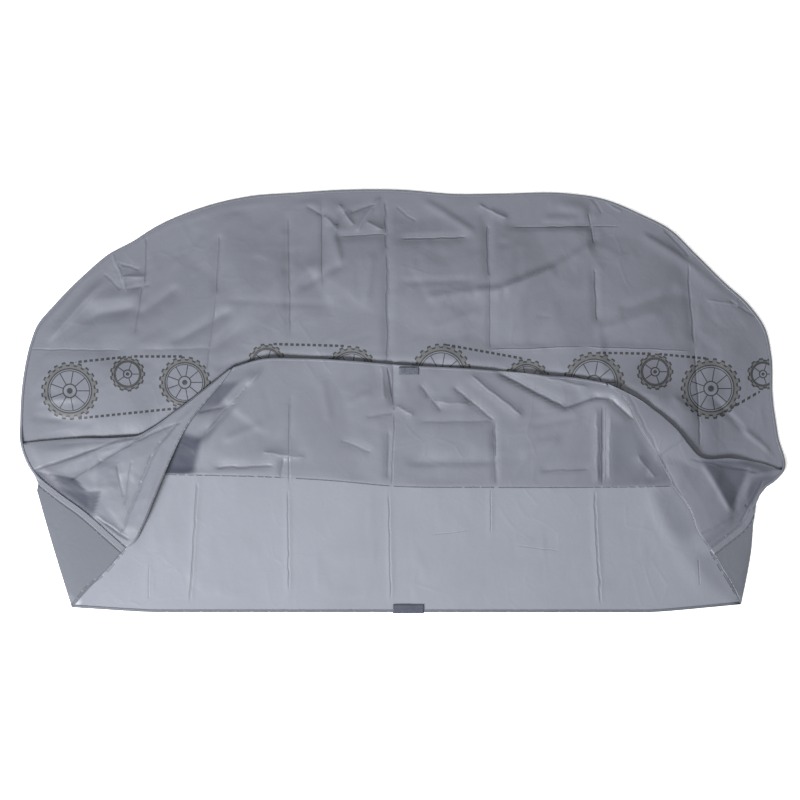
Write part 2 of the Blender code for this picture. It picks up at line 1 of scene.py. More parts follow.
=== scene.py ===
"""The dressed model of a bicycle cover: a thin film bag laid on the floor, mouth turned open.

Metres. Places on the cover are (x, h): x from the middle of the hem, h from the back
panel's hem towards the crown. LAID moves them to where the cover lies on the floor.
"""
import functools
import math

import bmesh
import bpy
import numpy as np
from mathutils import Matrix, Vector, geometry


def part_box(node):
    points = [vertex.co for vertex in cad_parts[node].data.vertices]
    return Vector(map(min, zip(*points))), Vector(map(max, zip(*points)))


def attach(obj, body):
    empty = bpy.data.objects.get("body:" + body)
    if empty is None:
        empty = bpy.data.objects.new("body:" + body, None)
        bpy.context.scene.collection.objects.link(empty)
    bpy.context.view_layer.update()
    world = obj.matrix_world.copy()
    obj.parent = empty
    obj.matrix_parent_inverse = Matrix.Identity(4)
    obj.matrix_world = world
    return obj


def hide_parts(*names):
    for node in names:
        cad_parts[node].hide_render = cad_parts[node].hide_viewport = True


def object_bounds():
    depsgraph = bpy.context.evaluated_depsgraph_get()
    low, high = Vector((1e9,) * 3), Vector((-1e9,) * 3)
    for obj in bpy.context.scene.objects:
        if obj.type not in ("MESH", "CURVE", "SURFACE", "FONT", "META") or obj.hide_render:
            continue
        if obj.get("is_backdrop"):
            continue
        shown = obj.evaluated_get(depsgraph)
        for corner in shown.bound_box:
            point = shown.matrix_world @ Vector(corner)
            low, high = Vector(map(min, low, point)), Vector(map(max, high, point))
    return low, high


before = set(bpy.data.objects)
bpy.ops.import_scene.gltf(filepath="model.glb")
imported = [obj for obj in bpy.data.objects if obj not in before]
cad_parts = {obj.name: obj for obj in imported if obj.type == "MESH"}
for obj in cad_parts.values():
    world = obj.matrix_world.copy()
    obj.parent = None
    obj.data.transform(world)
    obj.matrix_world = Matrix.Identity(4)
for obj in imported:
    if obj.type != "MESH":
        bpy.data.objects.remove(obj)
cad_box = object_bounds()

# ======== Front panel ========
# One half-moon of thin coated film, printed in dark ink along its middle. Its lower part
# is turned up and over, so that the inside shows, and its two corners are squashed flat.
# The hem is folded in twice and stitched, and the arc is bound together with the back's.

# The seam's line, from one squashed corner over the crown to the other, and the folds
# that the bag was laid down with.
SEAM = (
    # x, h
    (-0.727, 0.160), (-0.780, 0.207), (-0.835, 0.255), (-0.906, 0.307), (-0.962, 0.356),
    (-0.988, 0.402), (-0.999, 0.441), (-1.000, 0.500), (-0.990, 0.625), (-0.973, 0.703),
    (-0.955, 0.750), (-0.915, 0.798), (-0.832, 0.882), (-0.765, 0.938), (-0.708, 0.968),
    (-0.645, 1.008), (-0.550, 1.050), (-0.397, 1.089), (-0.281, 1.098), (-0.148, 1.106),
    (0.000, 1.106), (0.141, 1.095), (0.265, 1.096), (0.430, 1.097), (0.526, 1.083),
    (0.632, 1.041), (0.705, 1.003), (0.774, 0.937), (0.850, 0.862), (0.914, 0.803),
    (0.955, 0.744), (0.972, 0.672), (0.976, 0.560), (0.990, 0.460), (1.005, 0.368),
    (0.984, 0.343), (0.948, 0.315), (0.932, 0.283), (0.900, 0.223), (0.853, 0.184),
    (0.816, 0.155),
)
LEFT_TURN, LEFT_POLE, RIGHT_POLE, RIGHT_TURN = SEAM[4], SEAM[6], SEAM[34], SEAM[37]
MAIN_FOLD = (
    # x, h
    (-0.999, 0.441), (-0.895, 0.391), (-0.764, 0.367), (-0.625, 0.362), (-0.323, 0.354),
    (-0.160, 0.344), (-0.034, 0.332), (0.226, 0.328), (0.509, 0.328), (0.706, 0.331),
    (0.890, 0.344), (1.005, 0.368),
)
FLAP_HEM = (
    # x, h
    (-0.444, 0.638), (-0.365, 0.661), (-0.265, 0.663), (-0.123, 0.656), (-0.003, 0.646),
    (0.197, 0.635), (0.373, 0.620), (0.467, 0.611), (0.541, 0.598),
)
FRONT_FOLD = {
    "left": ((-0.999, 0.441), (-0.856, 0.453), (-0.722, 0.457), (-0.690, 0.461), (-0.659, 0.477),
             (-0.580, 0.533), (-0.514, 0.584), (-0.444, 0.638)),
    "right": ((1.005, 0.368), (0.955, 0.386), (0.864, 0.402), (0.786, 0.405), (0.753, 0.438),
              (0.722, 0.478), (0.680, 0.515), (0.627, 0.554), (0.541, 0.598)),
}
FRONT_HEM = {
    "left": ((-0.727, 0.160), (-0.704, 0.176), (-0.676, 0.224), (-0.640, 0.310),
             (-0.601, 0.402), (-0.556, 0.491), (-0.512, 0.548), (-0.474, 0.592),
             (-0.444, 0.638)),
    "right": ((0.816, 0.155), (0.777, 0.213), (0.759, 0.262), (0.711, 0.331),
              (0.675, 0.402), (0.640, 0.454), (0.612, 0.499), (0.591, 0.546),
              (0.541, 0.598)),
}
TAB_CORNER = (-0.021, -0.006)   # the back tab's lower left corner, x and h
tab_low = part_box("back_hem_tab")[0]
LAID = np.array((tab_low.x - TAB_CORNER[0], tab_low.y - TAB_CORNER[1], 0.0))


def curve(points, shares):
    """Points at shares of the length of the smooth line through a few set points."""
    knots = np.array(points, float)
    steps = np.linalg.norm(np.diff(knots, axis=0), axis=1)
    reach = np.concatenate(([0.0], np.cumsum(steps)))
    slopes = np.gradient(knots, reach, axis=0)
    along = np.clip(np.atleast_1d(shares), 0.0, 1.0) * reach[-1]
    left = np.clip(np.searchsorted(reach, along, side="right") - 1, 0, len(steps) - 1)
    span = steps[left][:, None]
    t = (along - reach[left])[:, None] / span
    start = (2 * t**3 - 3 * t**2 + 1) * knots[left] + (t**3 - 2 * t**2 + t) * span * slopes[left]
    end = (3 * t**2 - 2 * t**3) * knots[left + 1] + (t**3 - t**2) * span * slopes[left + 1]
    return start + end


def reach_along(points):
    """Distance of each point along its line."""
    return np.concatenate(([0.0], np.cumsum(np.linalg.norm(np.diff(points, axis=0), axis=1))))


def right_hand(points):
    """Unit normals on the right of a line of points."""
    along = np.gradient(points, axis=0)
    normal = np.stack((along[:, 1], -along[:, 0]), axis=1)
    return normal / np.linalg.norm(normal, axis=1)[:, None]


def smooth(share):
    """Eases from 0 to 1 as the share goes from 0 to 1."""
    t = np.clip(share, 0.0, 1.0)
    return t * t * (3.0 - 2.0 * t)


def height_on(points, x):
    """h at x on the smooth line through a few set points."""
    line = curve(points, np.linspace(0.0, 1.0, 400))
    order = np.argsort(line[:, 0])
    return np.interp(x, line[order, 0], line[order, 1])


SEAM_LINE = curve(SEAM, np.linspace(0.0, 1.0, 1500))
SEAM_NORMAL = right_hand(SEAM_LINE)
SEAM_REACH = reach_along(SEAM_LINE)


def landmark(place):
    """Distance along the seam of the spot nearest to a place."""
    return SEAM_REACH[np.argmin(np.linalg.norm(SEAM_LINE - np.array(place), axis=1))]


END = SEAM_REACH[-1]
TURN = {"left": landmark(LEFT_TURN), "right": landmark(RIGHT_TURN)}
POLE = {"left": landmark(LEFT_POLE), "right": landmark(RIGHT_POLE)}
CORNER = {"left": 0.0, "right": END}
INWARD = {"left": 1.0, "right": -1.0}   # the way along the seam from a corner to the crown


def seam(reach, inset):
    """Places at a distance along the seam, moved in from it by inset."""
    place = [np.interp(reach, SEAM_REACH, SEAM_LINE[:, k]) for k in (0, 1)]
    normal = [np.interp(reach, SEAM_REACH, SEAM_NORMAL[:, k]) for k in (0, 1)]
    return np.stack([p + inset * n for p, n in zip(place, normal)], axis=-1)


def past_turn(reach):
    """Distance past the nearest turn towards its corner, less than 0 over the crown."""
    return np.maximum(TURN["left"] - reach, reach - TURN["right"])


# How the film lies. Heights are above the floor.
CLOTH_STEP = 0.0069       # from one column of the mesh to the next
FILM = 0.0006             # thickness shown
FRONT_EDGE_Z, BACK_EDGE_Z = 0.0032, 0.00185   # the two panels inside the binding
BACK_Z = 0.0005           # the back panel on the floor
LAYER = 0.00135           # room for one layer in a squashed corner
EDGE_INSET, OPEN_INSET = 0.0030, 0.0006       # cut edge from the seam's line: wrapped, open
BORDER = 0.0095           # level strip along the seam
TURN_REACH = 0.025        # from where the binding starts to open until it lies flat
SHOULDER = 0.70           # the mesh's columns stand upright between -x and x
POLE_CUT = 0.018          # its first column is this far in from a pole, the fold's end
BELLY, BELLY_LENGTH = 0.014, 0.16             # loft over the bag's inside, and its slope
EDGE_LENGTH = 0.25        # slope up from the bound edge
SWELL, SWELL_REACH = 0.0150, 0.095            # where the right corner's fold props it up
# The gap between the panels at the mouth: its height, middle, half length and fade.
MOUTH_GAP, MOUTH_CENTRE, MOUTH_HALF, MOUTH_FADE = 0.0095, 0.02, 0.42, 0.22
ROLL, POCKET = 0.0009, 0.0026                 # radius of the main fold, and by the poles
FLAP_LIFT, HEM_LIFT = 0.0010, 0.0012          # the flap over the front panel, and its hem
SINK = 0.006              # how much lower the front panel lies under the flap
WAVE = 0.0016             # a slight, wide wave over the front panel
CREST_SHARE = 0.78        # where the crest of a corner runs, from its pole to its hem
CORNER_SHARE = (0.00, 0.15, 0.35, 0.60, 0.80)   # along crest and hem, for the heights below
CREST_Z = {"left": (0.008, 0.011, 0.019, 0.024, 0.027),
           "right": (0.008, 0.012, 0.020, 0.024, 0.027)}
HEM_Z = {"left": (0.006, 0.0095, 0.0180, 0.0230, 0.026),
         "right": (0.006, 0.0105, 0.0190, 0.0230, 0.026)}

# Folds and packing creases, each along a line: above 0 a ridge, below 0 a valley. Side a
# is east of a line that runs down, and above a line that runs to the right.
FRONT_CREASES = (
    # x, h, x, h, width of side a, width of side b, height
    (-0.667, 0.984, -0.669, 0.856, 0.014, 0.026, -0.0026),
    (-0.675, 0.856, -0.696, 0.727, 0.020, 0.016, -0.0022),
    (-0.475, 0.990, -0.483, 0.832, 0.014, 0.024, -0.0026),
    (-0.483, 0.832, -0.507, 0.622, 0.022, 0.014, -0.0018),
    (-0.297, 1.042, -0.289, 0.722, 0.016, 0.026, -0.0022),
    (-0.205, 1.079, -0.202, 0.843, 0.026, 0.012, -0.0032),
    (-0.181, 1.005, -0.155, 0.906, 0.012, 0.022, 0.0032),
    (-0.076, 0.935, -0.092, 0.811, 0.020, 0.014, 0.0026),
    (-0.037, 1.095, -0.039, 0.942, 0.014, 0.022, -0.0030),
    (-0.034, 0.942, -0.034, 0.654, 0.018, 0.026, -0.0036),
    (0.228, 1.063, 0.231, 0.877, 0.012, 0.026, -0.0044),
    (0.234, 0.877, 0.234, 0.685, 0.024, 0.012, -0.0022),
    (0.530, 1.084, 0.491, 1.047, 0.012, 0.016, -0.0026),
    (0.491, 1.047, 0.509, 0.963, 0.020, 0.012, -0.0026),
    (0.507, 0.900, 0.515, 0.759, 0.012, 0.020, -0.0030),
    (0.515, 0.759, 0.530, 0.617, 0.018, 0.012, 0.0016),
    (0.753, 0.916, 0.769, 0.696, 0.014, 0.024, -0.0030),
    (0.769, 0.696, 0.785, 0.423, 0.024, 0.012, -0.0026),
    (-0.179, 0.984, -0.039, 0.990, 0.014, 0.022, -0.0026),
    (-0.005, 0.977, 0.181, 0.982, 0.012, 0.020, -0.0030),
    (0.281, 1.011, 0.585, 1.011, 0.028, 0.012, -0.0044),
    (-0.990, 0.688, -0.722, 0.685, 0.012, 0.018, -0.0018),
    (-0.685, 0.685, -0.486, 0.690, 0.010, 0.016, -0.0012),
    (-0.003, 0.864, 0.192, 0.869, 0.012, 0.016, -0.0024),
    (0.228, 0.685, 0.480, 0.693, 0.016, 0.014, 0.0020),
    (0.480, 0.693, 0.759, 0.682, 0.016, 0.014, 0.0018),
    (-0.465, 0.816, -0.186, 0.803, 0.016, 0.014, -0.0014),
    (-0.265, 0.685, -0.039, 0.680, 0.012, 0.012, -0.0012),
    (-0.843, 0.774, -0.696, 0.795, 0.022, 0.036, -0.0050),
    (-0.690, 0.774, -0.585, 0.851, 0.022, 0.040, -0.0042),
    (-0.832, 0.816, -0.685, 0.827, 0.030, 0.020, 0.0030),
    (-0.596, 0.706, -0.446, 0.790, 0.020, 0.034, -0.0050),
    (-0.486, 0.690, -0.265, 0.885, 0.026, 0.050, -0.0060),
    (-0.433, 0.738, -0.218, 0.916, 0.040, 0.026, 0.0040),
    (-0.265, 0.848, -0.144, 0.916, 0.024, 0.020, -0.0030),
    (0.066, 0.822, 0.197, 0.840, 0.016, 0.030, 0.0036),
    (0.194, 0.840, 0.265, 0.843, 0.018, 0.040, 0.0056),
    (0.260, 0.843, 0.412, 0.903, 0.018, 0.044, 0.0070),
    (0.407, 0.903, 0.501, 0.958, 0.022, 0.036, 0.0046),
    (0.202, 1.066, 0.281, 1.032, 0.010, 0.018, 0.0034),
    (0.060, 1.079, 0.192, 0.995, 0.012, 0.020, 0.0030),
    (0.312, 1.047, 0.475, 1.042, 0.026, 0.022, -0.0034),
    (0.580, 0.793, 0.727, 0.845, 0.018, 0.030, -0.0038),
    (0.522, 0.738, 0.680, 0.785, 0.024, 0.018, 0.0024),
    (0.076, 0.738, 0.207, 0.785, 0.024, 0.018, 0.0020),
    (-0.916, 0.717, -0.790, 0.858, 0.026, 0.012, 0.0050),
    (-0.669, 0.984, -0.486, 1.058, 0.024, 0.012, 0.0036),
    (-0.491, 1.055, -0.276, 1.087, 0.022, 0.012, 0.0032),
    (0.627, 0.995, 0.785, 0.895, 0.012, 0.026, 0.0030),
    (0.785, 0.895, 0.948, 0.759, 0.012, 0.026, 0.0032),
    (-0.165, 1.068, -0.123, 1.011, 0.008, 0.012, 0.0030),
    (-0.134, 1.047, -0.066, 1.068, 0.010, 0.008, -0.0026),
    (-0.118, 0.995, -0.055, 1.089, 0.009, 0.012, 0.0032),
    (-0.171, 1.011, -0.150, 1.053, 0.008, 0.010, -0.0026),
    (-0.092, 1.021, -0.045, 1.000, 0.008, 0.010, 0.0024),
    (-0.207, 1.042, -0.165, 1.000, 0.010, 0.012, 0.0026),
    (-0.249, 1.063, -0.197, 1.037, 0.010, 0.010, -0.0022),
    (-0.013, 1.063, 0.039, 1.021, 0.008, 0.012, -0.0024),
    (-0.759, 0.948, -0.719, 0.837, 0.010, 0.016, 0.0042),
    (-0.743, 0.916, -0.685, 0.895, 0.008, 0.012, -0.0028),
    (-0.732, 0.874, -0.669, 0.879, 0.008, 0.010, 0.0026),
    (-0.780, 0.885, -0.732, 0.843, 0.008, 0.012, -0.0026),
    (-0.722, 0.843, -0.659, 0.858, 0.008, 0.010, -0.0020),
    (0.533, 1.079, 0.580, 1.047, 0.010, 0.012, 0.0026),
    (0.496, 1.089, 0.528, 1.042, 0.008, 0.012, -0.0026),
    (0.690, 1.005, 0.759, 0.929, 0.010, 0.016, -0.0040),
    (0.722, 1.011, 0.785, 0.948, 0.010, 0.014, 0.0030),
    (0.911, 0.811, 0.958, 0.751, 0.010, 0.014, 0.0036),
    (0.858, 0.816, 0.942, 0.769, 0.010, 0.014, -0.0028),
    (0.801, 0.816, 0.890, 0.801, 0.010, 0.012, 0.0022),
    (0.785, 0.738, 0.895, 0.759, 0.012, 0.012, -0.0022),
    (0.816, 0.564, 0.900, 0.475, 0.012, 0.020, -0.0030),
    (0.900, 0.475, 0.974, 0.417, 0.014, 0.012, 0.0030),
    (-0.948, 0.554, -0.848, 0.559, 0.012, 0.014, 0.0022),
    (-0.974, 0.512, -0.801, 0.491, 0.014, 0.012, -0.0024),
    (-0.801, 0.491, -0.659, 0.507, 0.012, 0.016, 0.0022),
    (-0.659, 0.543, -0.538, 0.585, 0.012, 0.018, 0.0024),
    (0.711, 0.564, 0.785, 0.501, 0.012, 0.014, 0.0024),
    (0.354, 0.774, 0.396, 0.772, 0.004, 0.005, -0.0010),
)
FLAP_CREASES = (
    # x, h, x, h, width of side a, width of side b, height
    (-0.365, 0.633, -0.512, 0.475, 0.014, 0.030, 0.0050),
    (-0.396, 0.601, -0.522, 0.449, 0.012, 0.026, -0.0075),
    (-0.433, 0.543, -0.533, 0.522, 0.010, 0.012, -0.0030),
    (-0.491, 0.378, -0.331, 0.381, 0.026, 0.010, -0.0036),
    (-0.365, 0.417, -0.249, 0.402, 0.016, 0.012, 0.0026),
    (-0.307, 0.402, -0.315, 0.352, 0.008, 0.012, -0.0026),
    (-0.020, 0.656, -0.020, 0.538, 0.014, 0.016, -0.0042),
    (-0.050, 0.646, -0.045, 0.554, 0.008, 0.018, 0.0022),
    (-0.032, 0.475, -0.034, 0.344, 0.010, 0.014, -0.0026),
    (-0.013, 0.538, 0.034, 0.515, 0.008, 0.009, 0.0026),
    (-0.092, 0.509, -0.013, 0.522, 0.012, 0.010, -0.0020),
    (0.047, 0.596, 0.108, 0.525, 0.018, 0.010, -0.0026),
    (0.134, 0.591, 0.247, 0.496, 0.020, 0.012, -0.0032),
    (0.179, 0.620, 0.320, 0.509, 0.014, 0.020, 0.0032),
    (0.247, 0.630, 0.433, 0.533, 0.028, 0.009, -0.0060),
    (0.425, 0.533, 0.509, 0.564, 0.024, 0.009, -0.0055),
    (0.501, 0.564, 0.551, 0.556, 0.016, 0.010, -0.0046),
    (0.546, 0.559, 0.612, 0.501, 0.014, 0.022, -0.0050),
    (0.260, 0.643, 0.496, 0.585, 0.008, 0.014, 0.0026),
    (0.047, 0.499, 0.244, 0.499, 0.014, 0.012, -0.0018),
    (0.016, 0.391, 0.249, 0.394, 0.034, 0.016, -0.0042),
    (0.244, 0.501, 0.249, 0.328, 0.010, 0.014, -0.0030),
    (0.512, 0.533, 0.515, 0.333, 0.009, 0.014, 0.0026),
    (0.530, 0.533, 0.528, 0.328, 0.008, 0.009, -0.0022),
    (0.546, 0.522, 0.546, 0.344, 0.044, 0.008, 0.0024),
    (0.632, 0.530, 0.722, 0.350, 0.030, 0.120, -0.0080),
    (0.312, 0.417, 0.417, 0.449, 0.022, 0.026, 0.0020),
    (0.365, 0.370, 0.496, 0.375, 0.024, 0.010, -0.0024),
    (-0.286, 0.567, -0.291, 0.449, 0.012, 0.012, -0.0014),
    (-0.207, 0.606, -0.186, 0.501, 0.016, 0.020, 0.0018),
    (-0.160, 0.449, -0.076, 0.417, 0.018, 0.014, -0.0020),
    (-0.139, 0.543, -0.076, 0.575, 0.016, 0.016, 0.0020),
    (-0.462, 0.449, -0.365, 0.488, 0.020, 0.016, 0.0024),
    (0.076, 0.554, 0.181, 0.541, 0.014, 0.016, 0.0020),
    (0.339, 0.488, 0.457, 0.507, 0.016, 0.016, -0.0022),
    (0.617, 0.410, 0.667, 0.349, 0.014, 0.018, 0.0024),
)
CORNER_CREASES = {
    # x, h, x, h, width of side a, width of side b, height
    "left": (
        (-0.948, 0.373, -0.861, 0.344, 0.013, 0.022, 0.0045),
        (-0.866, 0.345, -0.816, 0.318, 0.012, 0.024, 0.0055),
        (-0.822, 0.318, -0.743, 0.328, 0.020, 0.022, 0.0055),
        (-0.795, 0.255, -0.759, 0.315, 0.012, 0.016, 0.0030),
        (-0.790, 0.239, -0.727, 0.197, 0.012, 0.012, -0.0030),
        (-0.854, 0.354, -0.795, 0.389, 0.012, 0.014, -0.0046),
        (-0.798, 0.387, -0.698, 0.448, 0.012, 0.014, -0.0044),
        (-0.701, 0.446, -0.596, 0.488, 0.009, 0.012, -0.0034),
        (-0.956, 0.373, -0.777, 0.436, 0.018, 0.012, -0.0036),
        (-0.790, 0.417, -0.696, 0.433, 0.010, 0.012, 0.0022),
        (-0.764, 0.375, -0.727, 0.360, 0.012, 0.014, 0.0026),
        (-0.596, 0.483, -0.637, 0.433, 0.009, 0.014, -0.0034),
        (-0.635, 0.436, -0.658, 0.394, 0.009, 0.014, -0.0040),
        (-0.656, 0.396, -0.684, 0.326, 0.009, 0.013, -0.0044),
        (-0.684, 0.328, -0.710, 0.268, 0.009, 0.012, -0.0042),
        (-0.709, 0.270, -0.726, 0.221, 0.009, 0.011, -0.0030),
        (-0.706, 0.378, -0.721, 0.297, 0.008, 0.009, -0.0026),
        (-0.740, 0.373, -0.730, 0.312, 0.008, 0.009, -0.0020),
        (-0.606, 0.431, -0.669, 0.284, 0.008, 0.010, 0.0022),
        (-0.554, 0.522, -0.601, 0.465, 0.008, 0.010, 0.0024),
        (-0.974, 0.431, -0.895, 0.449, 0.012, 0.014, 0.0018),
        (-0.906, 0.291, -0.832, 0.239, 0.010, 0.010, -0.0020),
    ),
    "right": (
        (0.654, 0.533, 0.701, 0.496, 0.026, 0.010, 0.0034),
        (0.690, 0.507, 0.759, 0.428, 0.034, 0.010, 0.0050),
        (0.756, 0.433, 0.819, 0.344, 0.052, 0.010, 0.0080),
        (0.814, 0.349, 0.866, 0.263, 0.040, 0.010, 0.0080),
        (0.785, 0.396, 0.911, 0.370, 0.008, 0.026, -0.0030),
        (0.914, 0.370, 0.869, 0.265, 0.014, 0.014, -0.0050),
        (0.990, 0.357, 0.921, 0.349, 0.012, 0.016, 0.0032),
        (0.924, 0.352, 0.879, 0.270, 0.012, 0.012, 0.0034),
        (0.906, 0.278, 0.919, 0.263, 0.009, 0.009, -0.0050),
        (0.942, 0.328, 0.900, 0.249, 0.012, 0.012, -0.0024),
        (0.685, 0.412, 0.732, 0.446, 0.008, 0.009, -0.0020),
        (0.620, 0.520, 0.785, 0.200, 0.016, 0.010, -0.0016),
        (0.816, 0.186, 0.906, 0.242, 0.008, 0.010, 0.0022),
        (0.806, 0.210, 0.879, 0.249, 0.009, 0.009, -0.0024),
        (0.827, 0.239, 0.864, 0.218, 0.008, 0.008, 0.0020),
    ),
}


CREASE_ROUND = (0.05, 0.003)    # how far a crease's line is rounded: share of its width, least
CREASE_FADE, CREASE_START = 0.22, 0.35   # share of its length to fade over, share at its ends


def creases(places, table):
    """Height of folds: each comes to a soft edge along its line and fades at its ends."""
    total = np.zeros(places.shape[:-1])
    for x0, h0, x1, h1, width_a, width_b, height in table:
        start = np.array((x0, h0))
        line = np.array((x1, h1)) - start
        length = np.hypot(*line)
        off = places - start
        along = (off @ line) / length**2
        across = (line[0] * off[..., 1] - line[1] * off[..., 0]) / length
        beyond = np.maximum(np.maximum(-along, along - 1.0), 0.0) * length
        width = np.where(across > 0.0, width_a, width_b)
        edge = CREASE_ROUND[0] * width + CREASE_ROUND[1]
        away = (np.sqrt(across**2 + (1.4 * beyond) ** 2 + edge**2) - edge) / width
        ends = smooth((0.5 - np.abs(along - 0.5)) / CREASE_FADE + CREASE_START)
        total += height * np.clip(1.0 - away, 0.0, None) ** 2 * ends
    return total


def make_net(points, folds=()):
    """Triangles between set points (x, h, lift), with each fold kept as an edge."""
    points = np.array(points)
    flat = [tuple(point) for point in points[:, :2]]
    places, _, faces, sources, _, _ = geometry.delaunay_2d_cdt(flat, list(folds), [], 0, 0.00001)
    lifts = [points[source[0], 2] if source else 0.0 for source in sources]
    return np.array([tuple(place) for place in places]), np.array(lifts), faces


NET_STRAY = 0.42          # share of the spacing that a point may stray by


def chance_net(seed, area, spacing, height):
    """A net with its points and lifts left to chance, for the way that a film crumples."""
    chance = np.random.default_rng(seed)
    (x0, h0), (x1, h1) = area
    grid = np.stack(np.meshgrid(np.arange(x0, x1, spacing), np.arange(h0, h1, spacing)), axis=-1)
    grid = grid.reshape(-1, 2)
    grid = grid + chance.uniform(-NET_STRAY, NET_STRAY, grid.shape) * spacing
    return make_net(np.column_stack((grid, height * chance.normal(size=len(grid)))))


FACET_EDGE = 0.0035       # how far a facet's edge is rounded


def facets(places, net):
    """Height of a net's flat facets, with their edges softened a little."""
    corners, lifts, faces = net
    shifts = FACET_EDGE * np.array(((0, 0), (1, 0), (-1, 0), (0, 1), (0, -1)))
    spots = (places.reshape(1, -1, 2) + shifts[:, None]).reshape(-1, 2)
    order = np.argsort(spots[:, 0])
    spots = spots[order]
    heights = np.zeros(len(spots))
    for face in faces:
        a, b, c = corners[list(face)]
        sides = np.stack((b - a, c - a), axis=1)
        if abs(np.linalg.det(sides)) < 1e-8:
            continue
        low, high = np.searchsorted(spots[:, 0], (min(a[0], b[0], c[0]), max(a[0], b[0], c[0])))
        share = (spots[low:high] - a) @ np.linalg.inv(sides).T
        inside = (share > -0.0001).all(axis=1) & (share.sum(axis=1) < 1.0001)
        lift = lifts[list(face)]
        found = lift[0] + share[inside] @ (lift[1:] - lift[0])
        heights[low:high][inside] = found
    total = np.empty(len(heights))
    total[order] = heights
    return total.reshape(len(shifts), *places.shape[:-1]).mean(axis=0)


CORNER_NET = {
    # points x, h, z, then the pairs of them that a fold joins
    "left": make_net((
        (-0.997, 0.443, 0.0100), (-0.949, 0.373, 0.0070), (-0.780, 0.436, 0.0170),
        (-0.887, 0.418, 0.0130), (-0.705, 0.472, 0.0200), (-0.854, 0.351, 0.0054),
        (-0.798, 0.395, 0.0120), (-0.740, 0.425, 0.0180), (-0.681, 0.451, 0.0210),
        (-0.824, 0.407, 0.0170), (-0.721, 0.443, 0.0210), (-0.905, 0.368, 0.0100),
        (-0.824, 0.314, 0.0036), (-0.747, 0.320, 0.0080), (-0.795, 0.373, 0.0125),
        (-0.740, 0.392, 0.0180), (-0.964, 0.362, 0.0042), (-0.898, 0.307, 0.0036),
        (-0.846, 0.270, 0.0036), (-0.810, 0.248, 0.0036), (-0.780, 0.281, 0.0038),
        (-0.736, 0.222, 0.0045), (-0.710, 0.186, 0.0052), (-0.725, 0.154, 0.0050),
        (-0.659, 0.397, 0.0220), (-0.684, 0.333, 0.0160), (-0.703, 0.289, 0.0120),
        (-0.729, 0.226, 0.0075), (-0.629, 0.395, 0.0250), (-0.655, 0.326, 0.0220),
        (-0.677, 0.267, 0.0170), (-0.699, 0.222, 0.0120), (-0.727, 0.348, 0.0140),
        (-0.721, 0.300, 0.0110), (-0.705, 0.355, 0.0180), (-0.596, 0.488, 0.0240),
        (-0.636, 0.432, 0.0250), (-0.574, 0.462, 0.0260), (-0.574, 0.399, 0.0240),
        (-0.603, 0.340, 0.0215), (-0.636, 0.252, 0.0155), (-0.673, 0.193, 0.0090),
        (-0.522, 0.570, 0.0260), (-0.544, 0.528, 0.0270), (-0.773, 0.348, 0.0125),
        (-0.670, 0.407, 0.0235), (-1.031, 0.399, 0.0040), (-0.968, 0.318, 0.0030),
        (-0.876, 0.230, 0.0030), (-0.773, 0.141, 0.0030), (-0.997, 0.465, 0.0100),
        (-0.868, 0.475, 0.0150), (-0.445, 0.657, 0.0270), (-0.419, 0.620, 0.0270),
        (-0.478, 0.576, 0.0260), (-0.522, 0.488, 0.0250),
    ), (
        (1, 2), (5, 6), (6, 7), (7, 8), (8, 35), (24, 25), (25, 26), (26, 27), (1, 11), (11, 5),
        (5, 12), (12, 13), (16, 17), (17, 18), (18, 19), (12, 20), (32, 33),
    )),
    "right": make_net((
        (1.008, 0.368, 0.0100), (0.866, 0.419, 0.0140), (0.782, 0.421, 0.0195),
        (0.713, 0.512, 0.0225), (0.651, 0.559, 0.0235), (0.736, 0.447, 0.0235),
        (0.787, 0.395, 0.0225), (0.828, 0.337, 0.0220), (0.859, 0.270, 0.0170),
        (0.912, 0.361, 0.0100), (0.887, 0.314, 0.0080), (0.875, 0.259, 0.0080),
        (0.990, 0.370, 0.0090), (0.953, 0.337, 0.0110), (0.931, 0.296, 0.0100),
        (0.905, 0.244, 0.0090), (0.916, 0.270, 0.0070), (0.828, 0.186, 0.0080),
        (0.864, 0.211, 0.0080), (0.583, 0.523, 0.0260), (0.656, 0.401, 0.0260),
        (0.701, 0.316, 0.0220), (0.737, 0.250, 0.0175), (0.782, 0.173, 0.0090),
        (0.658, 0.473, 0.0270), (0.724, 0.381, 0.0260), (0.783, 0.296, 0.0220),
        (0.820, 0.222, 0.0160), (0.828, 0.377, 0.0190), (0.864, 0.344, 0.0130),
        (1.049, 0.355, 0.0040), (0.979, 0.289, 0.0040), (0.949, 0.222, 0.0040),
        (0.879, 0.156, 0.0040), (0.802, 0.141, 0.0050), (1.001, 0.399, 0.0100),
        (0.518, 0.613, 0.0270), (0.559, 0.628, 0.0270), (0.540, 0.576, 0.0270),
        (0.607, 0.587, 0.0260),
    ), (
        (5, 6), (6, 7), (7, 8), (9, 10), (10, 11), (12, 9), (3, 5),
    )),
}
SHEET = ((-1.08, 0.22), (1.08, 1.18))   # lower left and upper right of the nets
BROAD_NET = chance_net(41, SHEET, 0.115, 0.0022)
SMALL_NET = chance_net(42, SHEET, 0.043, 0.0006)
FLAP_NET = chance_net(43, SHEET, 0.085, 0.0014)

# Small chance creases: seed, count, area, height.
FRONT_CRUMPLE = (11, 260, ((-1.0, 0.40), (1.0, 1.10)), 0.0008)
FLAP_CRUMPLE = (23, 110, ((-0.95, 0.33), (0.95, 0.66)), 0.0006)
CORNER_CRUMPLE = {"left": (37, 90, ((-1.0, 0.15), (-0.44, 0.65)), 0.0005),
                  "right": (37, 90, ((0.54, 0.15), (1.0, 0.62)), 0.0005)}
LEANS = (0.0, 90.0, 25.0, -35.0, 60.0)
LEAN_CHANCE = (0.2, 0.26, 0.2, 0.14, 0.2)


